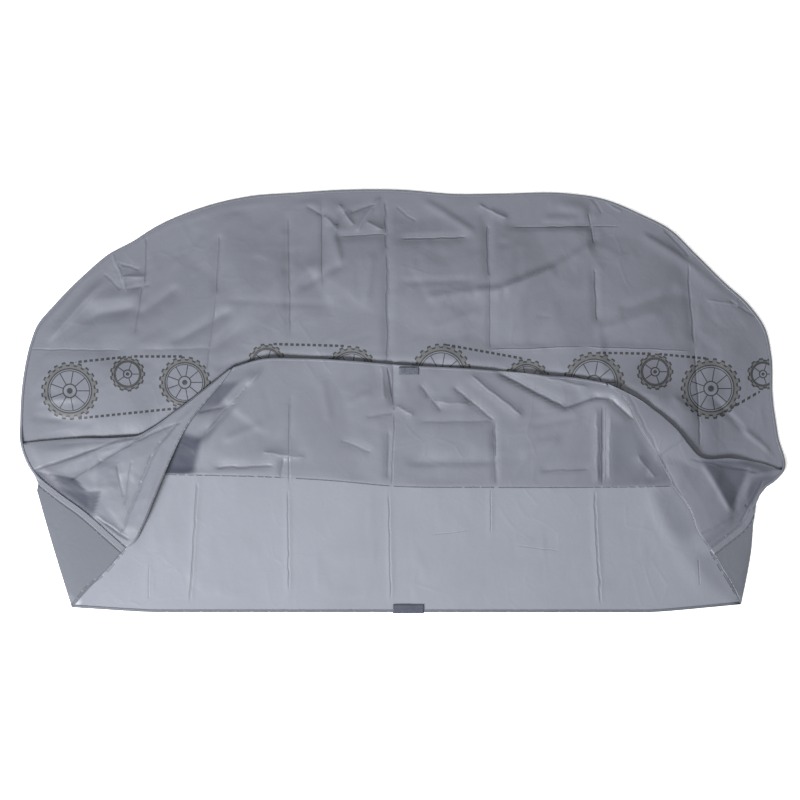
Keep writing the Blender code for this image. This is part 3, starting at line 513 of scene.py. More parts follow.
def crumple(places, seed, count, area, height):
    """Many small chance creases over an area, mostly upright, level or slanting a little."""
    chance = np.random.default_rng(seed)
    (x0, h0), (x1, h1) = area
    table = []
    for _ in range(count):
        x, h = chance.uniform(x0, x1), chance.uniform(h0, h1)
        lean = chance.choice(LEANS, p=LEAN_CHANCE)
        angle = math.radians(lean + chance.normal(0.0, 11.0))
        length = 0.02 + 0.12 * chance.random() ** 2
        widths = 0.008 + 0.030 * chance.random(2) ** 1.5
        tall = height * (0.3 + chance.random()) * chance.choice((-1.0, 1.0))
        reach = np.array((math.cos(angle), math.sin(angle))) * length / 2
        table.append((x - reach[0], h - reach[1], x + reach[0], h + reach[1], *widths, tall))
    return creases(places, table)


FAR = 10.0


def edge_distance(places):
    """Distance of each place from the bound edge between the two poles."""
    along = (SEAM_REACH >= POLE["left"]) & (SEAM_REACH <= POLE["right"])
    edge = SEAM_LINE[along][::6]
    flat = places.reshape(-1, 2)
    away = np.full(len(flat), FAR)
    for x, h in edge:
        away = np.minimum(away, (flat[:, 0] - x) ** 2 + (flat[:, 1] - h) ** 2)
    return np.sqrt(away).reshape(places.shape[:-1])


def mouth_lift(x):
    """How far the front panel stands off the back one along the mouth."""
    return MOUTH_GAP * (1.0 - smooth((np.abs(x - MOUTH_CENTRE) - MOUTH_HALF) / MOUTH_FADE))


def right_swell(places):
    """The front panel stands up a little along the fold of the right corner."""
    start, end = np.array(FRONT_FOLD["right"][-1]), np.array(FRONT_FOLD["right"][3])
    line = end - start
    along = np.clip((places - start) @ line / (line @ line), 0.25, 1.0)
    away = np.linalg.norm(places - start - along[..., None] * line, axis=-1)
    return SWELL * np.exp(-(away / SWELL_REACH) ** 2)


def front_smooth(places):
    """The front panel over the bag's inside, before its creases."""
    x, h = places[..., 0], places[..., 1]
    inside = smooth((h - height_on(MAIN_FOLD, x)) / BELLY_LENGTH)
    loft = mouth_lift(x) + (BELLY - mouth_lift(x)) * inside
    rise = smooth((edge_distance(places) - BORDER) / EDGE_LENGTH)
    return FRONT_EDGE_Z + rise * (loft + right_swell(places))


def cover_line(x):
    """h of the line above which the front panel shows: the flap's hem and corner folds."""
    low, high = FLAP_HEM[0][0], FLAP_HEM[-1][0]
    line = np.where(x < low, height_on(FRONT_FOLD["left"], x), height_on(FRONT_FOLD["right"], x))
    return np.where((x >= low) & (x <= high), height_on(FLAP_HEM, x), line)


def front_height(places):
    """The front panel with its creases, lower where the flap and the corners lie on it."""
    shown = smooth((places[..., 1] - cover_line(places[..., 0]) + 0.006) / 0.03)
    above_fold = places[..., 1] - height_on(MAIN_FOLD, places[..., 0])
    sunk = SINK * (1.0 - shown) * smooth(above_fold / 0.04)
    away = edge_distance(places)
    sunk *= smooth((away - 0.02) / 0.10)
    pinned = smooth((away - 0.007) / 0.035)
    folds = creases(places, FRONT_CREASES)
    small = crumple(places, *FRONT_CRUMPLE)
    small += facets(places, BROAD_NET) + facets(places, SMALL_NET)
    wave = WAVE * np.sin(19.0 * places[..., 0] + 2.0) * np.sin(15.0 * places[..., 1] + 1.0)
    heights = front_smooth(places) - sunk + (0.05 + 0.95 * shown) * pinned * (folds + small + wave)
    return np.maximum(heights, FRONT_EDGE_Z - 0.0003)


def flap_smooth(places):
    """The part turned up and over, before its creases."""
    x, h = places[..., 0], places[..., 1]
    above_fold = h - height_on(MAIN_FOLD, x)
    rise = smooth((edge_distance(places) - BORDER) / EDGE_LENGTH)
    lift = FLAP_LIFT * smooth(above_fold / 0.08)
    hem = HEM_LIFT * smooth(1.0 - (height_on(FLAP_HEM, x) - h) / 0.06)
    return front_smooth(places) + 2 * ROLL + rise * (lift + hem)


def flap_height(places):
    """The same with its creases, and never lower than the front panel under it."""
    above_fold = places[..., 1] - height_on(MAIN_FOLD, places[..., 0])
    folds = creases(places, FLAP_CREASES)
    small = crumple(places, *FLAP_CRUMPLE)
    small += facets(places, FLAP_NET) + 0.7 * facets(places, SMALL_NET)
    heights = flap_smooth(places) + smooth(above_fold / 0.02) * (folds + small)
    return np.maximum(heights, front_height(places) + 2 * ROLL * smooth(above_fold / 0.01 + 0.4))


def under_corner(places):
    """Top of what a squashed corner lies on: the flap, then down to the back panel."""
    x, h = places[..., 0], places[..., 1]
    fold = height_on(MAIN_FOLD, x)
    on_flap = flap_smooth(np.stack((x, np.maximum(h, fold)), axis=-1))
    share = smooth((h - (fold - 0.085)) / 0.045)
    return BACK_Z + (on_flap - BACK_Z) * share


POLE_RISE = 0.0050        # the bound edge stands this much higher at the two poles


def front_edge_height(reach):
    stations = (0.0, TURN["left"] - 0.06, POLE["left"], POLE["left"] + 0.05,
                POLE["right"] - 0.05, POLE["right"], TURN["right"] + 0.06, END)
    pole_z = FRONT_EDGE_Z + POLE_RISE
    heights = (BACK_EDGE_Z, BACK_EDGE_Z, pole_z, FRONT_EDGE_Z,
               FRONT_EDGE_Z, pole_z, BACK_EDGE_Z, BACK_EDGE_Z)
    return np.interp(reach, stations, heights)


def with_height(places, heights):
    return np.concatenate((places, np.asarray(heights)[..., None]), axis=-1)


def roll(edge, outward, low, radius, steps):
    """Rows of a half turn of cloth: from its lower side round its edge to its upper."""
    angles = np.linspace(-math.pi / 2, math.pi / 2, steps + 1)[:, None]
    radius = np.broadcast_to(radius, low.shape)
    push = radius * (np.cos(angles) - 1.0)
    places = edge[None] + push[..., None] * outward[None]
    return with_height(places, low + radius * (1.0 + np.sin(angles)))


def columns(knots, step):
    """Even steps between set values, no longer than step."""
    values = []
    for low, high in zip(knots[:-1], knots[1:]):
        count = max(1, math.ceil((high - low) / step))
        values.extend(np.linspace(low, high, count + 1)[:-1])
    return np.array(values + [knots[-1]])


def crown_reach(lower, first, last):
    """Where each column over the lower points meets the seam: upright between the
    shoulders, fanned out towards the two ends."""
    crown = (SEAM_REACH > POLE["left"] + 0.4) & (SEAM_REACH < POLE["right"] - 0.4)
    upright = crown & (np.abs(SEAM_LINE[:, 0]) < SHOULDER + 0.05)
    reach = np.interp(lower[:, 0], SEAM_LINE[upright, 0], SEAM_REACH[upright])
    along = reach_along(lower)
    left = int(np.argmax(lower[:, 0] > -SHOULDER))
    right = len(lower) - 1 - int(np.argmax(lower[::-1, 0] < SHOULDER))
    reach[:left] = first + along[:left] / along[left] * (reach[left] - first)
    share = (along[-1] - along[right + 1:]) / (along[-1] - along[right])
    reach[right + 1:] = last + share * (reach[right] - last)
    return reach


def shares_of(points):
    """Share of the whole length at each point of a line."""
    steps = np.linalg.norm(np.diff(points, axis=0), axis=1)
    return np.concatenate(([0.0], np.cumsum(steps))) / steps.sum()


def corner_patch(fold_row, seam_side, hem_points, down):
    """Places of a corner's triangle: its fold row, its side along the seam and its hem."""
    across = shares_of(fold_row)
    hem = curve([seam_side[-1], *hem_points[1:-1], fold_row[-1]], across)
    rows = down[:, None, None]
    places = (1 - rows) * fold_row[None] + rows * hem[None]
    off = seam_side - (seam_side[0] + down[:, None] * (seam_side[-1] - seam_side[0]))
    places += (1 - across)[None, :, None] * off[:, None]
    places[:, -1] = fold_row[-1]
    return places, across


def back_from_hem(grid, distance):
    """Points on the cloth that lie a distance in from its last row, down each column."""
    found = []
    for line in grid[::-1].transpose(1, 0, 2):
        reach = reach_along(line)
        at = min(distance, 0.8 * reach[-1])
        found.append([np.interp(at, reach, line[:, k]) for k in range(3)])
    return np.array(found)


HEM_DEPTH = 0.0065
HEM_TURN = 0.0004         # radius of the hem's folded edge
HEM_PUFF = 2.6            # and its second layer's height halfway in, in those


def turned_hem(grid, inside):
    """The hem's folded edge and its second layer, on the side that inside points to."""
    edge, back = grid[-1], back_from_hem(grid, HEM_DEPTH)
    out = edge - back
    out /= np.maximum(np.linalg.norm(out, axis=1), 1e-6)[:, None]
    up = np.array((0.0, 0.0, inside))
    middle = back_from_hem(grid, HEM_DEPTH / 2)
    return np.stack((edge, edge + out * HEM_TURN + up * HEM_TURN, edge + up * 2 * HEM_TURN,
                     middle + up * HEM_PUFF * HEM_TURN, back + up * 2 * HEM_TURN))


MERGE = 0.00002


def set_down(name, data):
    """Puts a mesh, lamp or camera in the scene."""
    piece = bpy.data.objects.new(name, data)
    bpy.context.scene.collection.objects.link(piece)
    return piece


def cloth_mesh(name, grids, thickness):
    """One piece of cloth: grids that share their rims, each with its share of print."""
    places, faces, printed = [], [], []
    for points, print_share in grids:
        rows, cols = points.shape[:2]
        first = len(places)
        places.extend(points.reshape(-1, 3) + LAID)
        printed.extend([print_share] * (rows * cols))
        corner = first + np.arange(rows * cols).reshape(rows, cols)
        quads = np.stack((corner[:-1, :-1], corner[:-1, 1:], corner[1:, 1:], corner[1:, :-1]),
                         axis=-1)
        faces.extend(quads.reshape(-1, 4).tolist())
    data = bpy.data.meshes.new(name)
    data.from_pydata([tuple(p) for p in places], [], faces)
    share = data.attributes.new("printed", "FLOAT", "POINT")
    share.data.foreach_set("value", np.array(printed, np.float32))
    mesh = bmesh.new()
    mesh.from_mesh(data)
    bmesh.ops.remove_doubles(mesh, verts=mesh.verts, dist=MERGE)
    bmesh.ops.recalc_face_normals(mesh, faces=mesh.faces)
    mesh.to_mesh(data)
    mesh.free()
    data.shade_smooth()
    piece = set_down(name, data)
    thick = piece.modifiers.new("thickness", "SOLIDIFY")
    thick.thickness = thickness
    thick.offset = 0.0
    return piece


CORNER_ROWS = 58


def front_corner(side, fold_row):
    """The squashed triangle of one corner, joined to the flap along its fold row."""
    reach = np.linspace(POLE[side], CORNER[side], CORNER_ROWS)
    down = (reach - POLE[side]) / (CORNER[side] - POLE[side])
    edge_z = front_edge_height(reach)
    seam_side = seam(reach, BORDER)
    row = np.concatenate((seam_side[:1], fold_row[:, :2]))
    places, across = corner_patch(row, seam_side, FRONT_HEM[side], down)
    row_z = np.concatenate((edge_z[:1], fold_row[:, 2]))
    shares = (*CORNER_SHARE, 1.0)
    crest_z = np.interp(across, shares, (*CREST_Z[side], row_z[-1]))
    hem_z = np.interp(across, shares, (*HEM_Z[side], row_z[-1]))
    rows = down[:, None]
    to_crest = smooth(rows / CREST_SHARE)
    to_hem = np.clip((rows - CREST_SHARE) / (1.0 - CREST_SHARE), 0.0, 1.0)
    heights = row_z + (crest_z - row_z) * to_crest + (hem_z - crest_z) * to_hem
    faceted = facets(places, CORNER_NET[side])
    away = np.linalg.norm(places - seam_side[:, None], axis=-1)
    share = smooth(rows / 0.10) * smooth((away - 0.004) / 0.02)
    share *= smooth((1.0 - across) / 0.08) * (faceted > 0.0)
    heights = heights + (faceted - heights) * share
    folds = 0.35 * creases(places, CORNER_CREASES[side])
    folds += crumple(places, *CORNER_CRUMPLE[side])
    heights = heights + folds * smooth(rows / 0.05) * (1.0 - 0.8 * smooth(to_hem - 0.6))
    heights = np.maximum(heights, under_corner(places) + 2 * LAYER)
    heights = edge_z[:, None] + (heights - edge_z[:, None]) * smooth(away / 0.03)
    heights[0] = row_z
    heights[:, -1] = row_z[-1]
    open_share = smooth((past_turn(reach) - TURN_REACH) / TURN_REACH)
    inset = EDGE_INSET + (OPEN_INSET - EDGE_INSET) * open_share
    line = seam(reach, 0.0)
    edge = line + (seam_side - line) * inset[:, None] / BORDER
    border = np.stack((with_height(edge, edge_z), with_height(seam_side, edge_z)), axis=1)
    return border, with_height(places, heights)


# The panel's rows run from the bound edge down to the main fold, closer together near it.
NEAR_FOLD, ROWS, FOLD_ROWS, FLAP_ROWS = 0.66, 73, 12, 43
turn_x = {side: FRONT_FOLD[side][-1][0] for side in FRONT_FOLD}
front_x = columns((MAIN_FOLD[0][0] + POLE_CUT, turn_x["left"], turn_x["right"],
                   MAIN_FOLD[-1][0] - POLE_CUT), CLOTH_STEP)
fold_line = np.stack((front_x, height_on(MAIN_FOLD, front_x)), axis=1)
front_reach = crown_reach(fold_line, POLE["left"], POLE["right"])
main_roll = roll(fold_line, right_hand(fold_line), front_height(fold_line), ROLL, 5)
edge_row = with_height(seam(front_reach, EDGE_INSET), np.full_like(front_x, FRONT_EDGE_Z))
down = (np.linspace(0.0, NEAR_FOLD, ROWS), np.linspace(NEAR_FOLD, 1.0, FOLD_ROWS)[1:])
down = np.concatenate(down)[:, None, None]
body = (1 - down) * seam(front_reach, BORDER)[None] + down * main_roll[0, :, :2][None]
body = with_height(body, front_height(body))
body[-1] = main_roll[0]
front_grids = [(np.concatenate((edge_row[None], body)), 1.0), (main_roll, 0.0)]

middle = (front_x >= turn_x["left"]) & (front_x <= turn_x["right"])
upper = np.stack((front_x, cover_line(front_x)), axis=1)
corner_rolls = {}
for side in ("left", "right"):
    part = front_x <= turn_x["left"] if side == "left" else front_x >= turn_x["right"]
    line = upper[part]
    normal = -right_hand(line)
    along = np.linspace(0.0, 1.0, len(line))
    along = along if side == "left" else along[::-1]
    radius = ROLL + (POCKET - ROLL) * smooth((along - 0.45) / 0.55)
    upper[part] = line - normal * radius[:, None]
    corner_rolls[side] = (part, line, normal, radius)
up = np.linspace(0.0, 1.0, FLAP_ROWS)[:, None, None]
flap = (1 - up) * main_roll[-1, :, :2][None] + up * upper[None]
flap = with_height(flap, flap_height(flap))
flap[0] = main_roll[-1]
front_grids.append((flap, 0.0))
front_hem = flap[:, middle]
front_turn = turned_hem(front_hem, 1.0)
front_grids.append((front_turn, 0.0))
corner_hems = {}
for side, (part, line, normal, radius) in corner_rolls.items():
    turned = roll(line, normal, flap[-1, part, 2], radius, 6)
    turned[0] = flap[-1, part]
    row = turned[-1] if side == "left" else turned[-1, ::-1]
    border, patch = front_corner(side, row)
    corner_hems[side] = patch
    front_grids += [(turned, 0.0), (border, -1.0), (patch, -1.0), (turned_hem(patch, -1.0), -1.0)]
front_cloth = cloth_mesh("front_cloth", front_grids, FILM)


# The finish: satin blue-grey film with faint clouding, a fine pressed grain and the thin
# hard lines that packing left, shared by both panels and the binding.
def fill(tree, item, **values):
    """Sets or links the sockets of a node, given by name or by number: i0, i6."""
    for name, value in values.items():
        by_number = name[0] == "i" and name[1:].isdigit()
        socket = item.inputs[int(name[1:]) if by_number else name.replace("_", " ")]
        if isinstance(value, bpy.types.NodeSocket):
            tree.links.new(value, socket)
        else:
            socket.default_value = value
    return item


def put(tree, kind, **values):
    """Adds a node. Names that are settings of it set them; the others are its sockets."""
    item = tree.nodes.new(kind)
    settings = [name for name in values if hasattr(item, name)]
    for name in settings:
        setattr(item, name, values.pop(name))
    return fill(tree, item, **values)


def maths(tree, operation, *values):
    named = {f"i{k}": value for k, value in enumerate(values)}
    return put(tree, "ShaderNodeMath", operation=operation, **named).outputs[0]


def noise(tree, place, scale, detail, **values):
    return put(tree, "ShaderNodeTexNoise", Vector=place, Scale=scale, Detail=detail,
               **values).outputs


def ramp(tree, value, low, high, first, last, soft=False):
    """Goes from first, where value is low or less, to last, where it is high or more."""
    return put(tree, "ShaderNodeMapRange", Value=value, From_Min=low, From_Max=high,
               To_Min=first, To_Max=last,
               interpolation_type="SMOOTHSTEP" if soft else "LINEAR").outputs[0]


def blend(tree, share, first, second, kind="MIX"):
    """Mixes two colours, or with the kind MULTIPLY darkens the first by the second."""
    return put(tree, "ShaderNodeMix", data_type="RGBA", blend_type=kind, i0=share, i6=first,
               i7=second).outputs[2]


def marked(tree, name, kind="Fac"):
    """What the mesh keeps under a name."""
    return put(tree, "ShaderNodeAttribute", attribute_name=name).outputs[kind]


def group(name, inputs, outputs):
    """An empty shader group with named sockets, its inputs and its output node."""
    tree = bpy.data.node_groups.new(name, "ShaderNodeTree")
    for label, kind, value in inputs:
        socket = tree.interface.new_socket(name=label, in_out="INPUT", socket_type=kind)
        if value is not None:
            socket.default_value = value
    for label, kind in outputs:
        tree.interface.new_socket(name=label, in_out="OUTPUT", socket_type=kind)
    return tree, tree.nodes.new("NodeGroupInput").outputs, tree.nodes.new("NodeGroupOutput")


def use_group(tree, shared, **values):
    return put(tree, "ShaderNodeGroup", node_tree=shared, **values).outputs


def new_finish(name):
    """A material, its tree and its shader."""
    finish = bpy.data.materials.new(name)
    finish.use_nodes = True
    return finish, finish.node_tree, finish.node_tree.nodes["Principled BSDF"]


def own_place(tree):
    return put(tree, "ShaderNodeTexCoord").outputs["Object"]


CLOUD_SCALE, CRUSH_SCALE, GRAIN_SCALE = 4.0, 38.0, 900.0
CELLS = ((13.0, 0.10), (41.0, 0.12))     # large and fine packing lines: scale, width
LARGE_DEPTH, FINE_DEPTH, CRUSH_DEPTH, GRAIN_DEPTH = 0.00022, 0.00002, 0.00035, 0.00003


def make_coated_film():
    tree, given, out = group(
        "coated film",
        [("Place", "NodeSocketVector", None), ("Colour", "NodeSocketColor", (0.2, 0.22, 0.27, 1))],
        [("Colour", "NodeSocketColor"), ("Roughness", "NodeSocketFloat"),
         ("Height", "NodeSocketFloat")])
    cloud = noise(tree, given["Place"], CLOUD_SCALE, 3.0, Roughness=0.6)
    crush = noise(tree, given["Place"], CRUSH_SCALE, 4.0, Roughness=0.62, Distortion=1.2)["Fac"]
    grain = noise(tree, given["Place"], GRAIN_SCALE, 2.0)["Fac"]
    bent = put(tree, "ShaderNodeVectorMath", operation="SCALE", i0=cloud["Color"], Scale=0.05)
    moved = put(tree, "ShaderNodeVectorMath", operation="ADD", i0=given["Place"],
                i1=bent.outputs[0])
    lines = []
    for scale, width in CELLS:
        cells = put(tree, "ShaderNodeTexVoronoi", feature="DISTANCE_TO_EDGE",
                    Vector=moved.outputs[0], Scale=scale, Randomness=1.0)
        lines.append(ramp(tree, cells.outputs["Distance"], 0.0, width, 1.0, 0.0, soft=True))
    patchy = ramp(tree, cloud["Fac"], 0.46, 0.62, 0.0, 1.0)
    height = maths(tree, "MULTIPLY", maths(tree, "MULTIPLY", lines[0], patchy), LARGE_DEPTH)
    for part, depth in ((lines[1], FINE_DEPTH), (crush, CRUSH_DEPTH), (grain, GRAIN_DEPTH)):
        height = maths(tree, "MULTIPLY_ADD", part, depth, height)
    shade = ramp(tree, cloud["Fac"], 0.3, 0.7, 0.95, 1.05)
    fill(tree, out, Height=height, Colour=blend(tree, 1.0, given["Colour"], shade, "MULTIPLY"),
         Roughness=ramp(tree, crush, 0.3, 0.7, 0.46, 0.58))
    return tree


coated_film = make_coated_film()


def read_all(items, name, kind=np.float32, width=1):
    """One number for each item of a mesh, or a row of them."""
    values = np.zeros(len(items) * width, kind)
    items.foreach_get(name, values)
    return values if width == 1 else values.reshape(-1, width)


def face_corners(data):
    """The flat place of each face corner, the middle of each face and its corner count."""
    spots = (read_all(data.vertices, "co", width=3) - LAID)[:, :2]
    places = spots[read_all(data.loops, "vertex_index", np.int32)]
    sizes = read_all(data.polygons, "loop_total", np.int32)
    starts = read_all(data.polygons, "loop_start", np.int32)
    return places, np.add.reduceat(places, starts) / sizes[:, None], sizes


def keep_corners(data, name, values):
    """Marks the mesh's face corners with a number each, or with three."""
    kind, field = ("FLOAT", "value") if values.ndim == 1 else ("FLOAT_VECTOR", "vector")
    layer = data.attributes.new(name, kind, "CORNER")
    layer.data.foreach_set(field, values.astype(np.float32).ravel())


NO_LINE = (9.0, 0.0, 0.0)
LINE_REACH = 0.03         # no line further off than this is read


def nearest_lines(data, table, wanted=None, values=None):
    """Finds each wanted face's nearest line of a table, for its corners: the distance
    across it in widths, the way along it from -1 to 1, and its depth."""
    places, centres, sizes = face_corners(data)
    owner = np.repeat(np.arange(len(sizes)), sizes)
    wanted = np.ones(len(sizes), bool) if wanted is None else wanted
    values = np.tile(NO_LINE, (len(places), 1)) if values is None else values
    best = np.full(len(sizes), LINE_REACH)
    for x0, h0, x1, h1, width, depth in table:
        start, line = np.array((x0, h0)), np.array((x1 - x0, h1 - h0))
        length = np.hypot(*line)
        share = np.clip((centres - start) @ line / length**2, 0.0, 1.0)
        away = np.linalg.norm(centres - start - share[:, None] * line, axis=1)
        nearer = wanted & (away < best)
        best[nearer] = away[nearer]
        chosen = nearer[owner]
        off = places[chosen] - start
        across = (line[0] * off[:, 1] - line[1] * off[:, 0]) / length / width
        along = 2.0 * (off @ line) / length**2 - 1.0
        values[chosen] = np.stack((across, along, np.full(len(off), depth)), axis=1)
    return values


TRUE_DEPTH = 1.25         # a line deeper than this follows an edge, so it doesn't waver


def make_line_read():
    """Turns a nearest line into a soft one: 1 on it, 0 past its width or its ends."""
    tree, given, out = group(
        "line read", [("Nearest", "NodeSocketVector", None), ("Waver", "NodeSocketFloat", 0.0)],
        [("Line", "NodeSocketFloat"), ("Depth", "NodeSocketFloat")])
    do = functools.partial(maths, tree)
    across, along, depth = put(tree, "ShaderNodeSeparateXYZ", Vector=given["Nearest"]).outputs
    waver = do("MULTIPLY", given["Waver"], do("LESS_THAN", depth, TRUE_DEPTH))
    away = do("ABSOLUTE", do("ADD", across, waver))
    soft = ramp(tree, away, 0.0, 1.0, 1.0, 0.0, soft=True)
    ends = ramp(tree, do("ABSOLUTE", along), 0.8, 1.0, 1.0, 0.0, soft=True)
    fill(tree, out, Line=do("MULTIPLY", soft, ends), Depth=depth)
    return tree


line_read = make_line_read()


def read_lines(tree, name, waver):
    return use_group(tree, line_read, Nearest=marked(tree, name, "Vector"), Waver=waver)


PRESSED_OUTSIDE = (
    # x, h, x, h, width, depth
    (-0.667, 0.984, -0.669, 0.856, 0.005, 0.8),
    (-0.675, 0.856, -0.696, 0.727, 0.005, 0.6),
    (-0.475, 0.990, -0.483, 0.832, 0.005, 0.8),
    (-0.483, 0.832, -0.507, 0.622, 0.005, 0.5),
    (-0.294, 1.042, -0.289, 0.722, 0.005, 0.7),
    (-0.207, 1.068, -0.205, 0.848, 0.004, 0.5),
    (-0.039, 1.079, -0.037, 0.948, 0.006, 0.9),
    (-0.034, 0.948, -0.034, 0.648, 0.006, 1.0),
    (0.228, 1.016, 0.231, 0.877, 0.006, 1.0),
    (0.234, 0.877, 0.234, 0.685, 0.004, 0.4),
    (0.491, 1.047, 0.507, 0.963, 0.004, 0.6),
    (0.507, 0.900, 0.515, 0.759, 0.005, 0.9),
    (0.753, 0.916, 0.769, 0.696, 0.005, 0.7),
    (0.769, 0.696, 0.785, 0.423, 0.005, 0.8),
    (-0.160, 0.984, -0.039, 0.990, 0.004, 0.5),
    (-0.003, 0.977, 0.176, 0.982, 0.004, 0.8),
    (0.286, 1.008, 0.580, 1.011, 0.004, 0.6),
    (-0.984, 0.688, -0.727, 0.685, 0.004, 0.4),
    (0.228, 0.685, 0.480, 0.693, 0.003, -0.7),
    (0.480, 0.693, 0.759, 0.682, 0.003, -0.7),
)
PRESSED_INSIDE = (
    # x, h, x, h, width, depth
    (-0.533, 0.349, -0.554, 0.018, 0.005, 1.0),
    (-0.297, 0.323, -0.294, 0.050, 0.004, 0.7),
    (-0.032, 0.318, -0.026, 0.024, 0.004, 0.7),
    (0.236, 0.323, 0.236, 0.202, 0.003, 0.5),
    (0.507, 0.323, 0.525, 0.013, 0.005, 1.0),
    (-0.291, 0.554, -0.294, 0.328, 0.004, 0.6),
    (-0.016, 0.522, -0.024, 0.328, 0.004, 0.6),
    (-0.034, 0.643, -0.016, 0.522, 0.005, 0.9),
    (0.247, 0.501, 0.252, 0.328, 0.004, 0.7),
    (0.528, 0.543, 0.528, 0.328, 0.005, 0.9),
    (0.533, 0.543, 0.533, 0.333, 0.003, -0.8),
    (-0.659, 0.129, -0.664, 0.029, 0.003, 0.4),
    (0.780, 0.139, 0.785, 0.066, 0.003, 0.5),
    (0.081, 0.200, 0.181, 0.213, 0.003, 0.3),
    (0.304, 0.173, 0.417, 0.158, 0.003, 0.3),
)
# The print is a plain row of toothed wheels, drawn in ink line with grey rims.
WHEELS = (
    # x, h, radius
    (-0.868, 0.578, 0.074), (-0.716, 0.622, 0.044), (-0.566, 0.600, 0.066),
    (-0.352, 0.652, 0.048), (-0.130, 0.628, 0.066), (0.105, 0.622, 0.078),
    (0.330, 0.600, 0.060), (0.505, 0.600, 0.078), (0.665, 0.628, 0.046),
    (0.812, 0.584, 0.078), (0.950, 0.622, 0.040),
)
LINKS = (
    # x, h, x, h
    (-0.860, 0.652, -0.712, 0.668), (-0.716, 0.668, -0.562, 0.668),
    (-0.862, 0.504, -0.570, 0.534), (-0.348, 0.701, -0.134, 0.695),
    (0.110, 0.700, 0.328, 0.661), (0.508, 0.678, 0.664, 0.675),
    (0.668, 0.675, 0.808, 0.662), (0.820, 0.506, 0.948, 0.580),
)
# Painted shade: soft patches that darken the film towards a deep blue, for pockets under raised edges,
# shadows beside the squashed corners and facets turned away from the light.
PAINTED_SHADE_PATCHES = (
    # layer (1 front, 0 flap, -1 corners, 2 back), share of painted shade, softness, corners x, h
    (-1, 0.80, 0.007, ((-0.962, 0.353), (-0.894, 0.300), (-0.811, 0.237), (-0.824, 0.313),
        (-0.854, 0.349), (-0.961, 0.368))),
    (-1, 0.64, 0.007, ((-0.811, 0.237), (-0.807, 0.250), (-0.745, 0.321), (-0.824, 0.313))),
    (-1, 0.32, 0.008, ((-0.798, 0.230), (-0.712, 0.184), (-0.732, 0.217), (-0.795, 0.257))),
    (-1, 0.14, 0.010, ((-0.852, 0.353), (-0.798, 0.395), (-0.817, 0.399), (-0.905, 0.377))),
    (-1, 0.22, 0.012, ((-0.795, 0.318), (-0.740, 0.318), (-0.736, 0.392), (-0.798, 0.395))),
    (-1, 0.42, 0.008, ((0.868, 0.261), (0.887, 0.314), (0.912, 0.359), (0.912, 0.392),
        (0.787, 0.397))),
    (-1, 0.36, 0.008, ((0.912, 0.358), (1.003, 0.374), (0.912, 0.392))),
    (-1, 0.34, 0.012, ((0.905, 0.270), (0.938, 0.289), (0.990, 0.355), (0.915, 0.352))),
    (0, 0.58, 0.012, ((-0.502, 0.526), (-0.480, 0.539), (-0.422, 0.602), (-0.480, 0.597),
        (-0.515, 0.557), (-0.534, 0.518))),
    (0, 0.16, 0.020, ((-0.435, 0.594), (-0.376, 0.615), (-0.389, 0.634), (-0.475, 0.626),
        (-0.515, 0.557))),
    (0, 0.88, 0.020, ((-0.543, 0.365), (-0.522, 0.454), (-0.570, 0.467), (-0.606, 0.431),
        (-0.638, 0.318))),
    (0, 0.16, 0.020, ((-0.512, 0.360), (-0.486, 0.475), (-0.444, 0.554), (-0.512, 0.528),
        (-0.533, 0.501), (-0.517, 0.449), (-0.554, 0.354))),
    (0, 0.18, 0.030, ((0.555, 0.328), (0.717, 0.328), (0.655, 0.414), (0.607, 0.484),
        (0.544, 0.499))),
    (0, 0.20, 0.020, ((0.643, 0.328), (0.717, 0.328), (0.655, 0.414), (0.607, 0.484))),
    (1, 0.16, 0.014, ((-0.475, 0.585), (-0.423, 0.638), (-0.365, 0.648), (-0.362, 0.672),
        (-0.433, 0.659), (-0.486, 0.633), (-0.499, 0.596))),
    (1, 0.12, 0.014, ((-0.692, 0.457), (-0.743, 0.484), (-0.824, 0.491), (-0.846, 0.457))),
    (1, 0.12, 0.008, ((-0.948, 0.722), (-0.890, 0.801), (-0.801, 0.890), (-0.816, 0.916),
        (-0.895, 0.848), (-0.963, 0.774), (-0.971, 0.719))),
    (2, 0.20, 0.040, ((0.669, 0.318), (0.673, 0.274), (0.702, 0.212), (0.754, 0.182),
        (0.776, 0.212), (0.717, 0.324))),
    (2, 0.22, 0.034, ((0.776, 0.149), (0.787, 0.112), (0.827, 0.057), (0.864, 0.031),
        (0.879, 0.057), (0.820, 0.149))),
    (2, 0.16, 0.010, ((-0.868, 0.004), (-0.836, 0.002), (-0.836, 0.022), (-0.858, 0.022))),
    (2, 0.12, 0.030, ((-0.640, 0.330), (-0.712, 0.170), (-0.690, 0.165), (-0.610, 0.330))),
)
# The deep blue that the painted shade darkens the film towards.
PAINTED_SHADE_COLOUR = (0.004, 0.008, 0.026, 1.0)
INK = (0.012, 0.013, 0.016, 1.0)
RIM_INK = (0.078, 0.080, 0.083, 1.0)


def wheel_places(data):
    """Each face's nearest wheel, for its corners: the place in the wheel's own radii from
    its centre, and the radius."""
    places, centres, sizes = face_corners(data)
    wheels = np.array(WHEELS)
    away = np.linalg.norm(centres[:, None] - wheels[None, :, :2], axis=2) - wheels[:, 2]
    own = wheels[np.repeat(np.argmin(away, axis=1), sizes)]
    return np.concatenate(((places - own[:, :2]) / own[:, 2:3], own[:, 2:3]), axis=1)


PEN = 0.0016              # width of a drawn line
RIM, INNER_RING, HUB = 0.78, 0.71, 0.24   # in radii
TEETH, SPOKES = 285.0, 62.0               # for each metre of radius


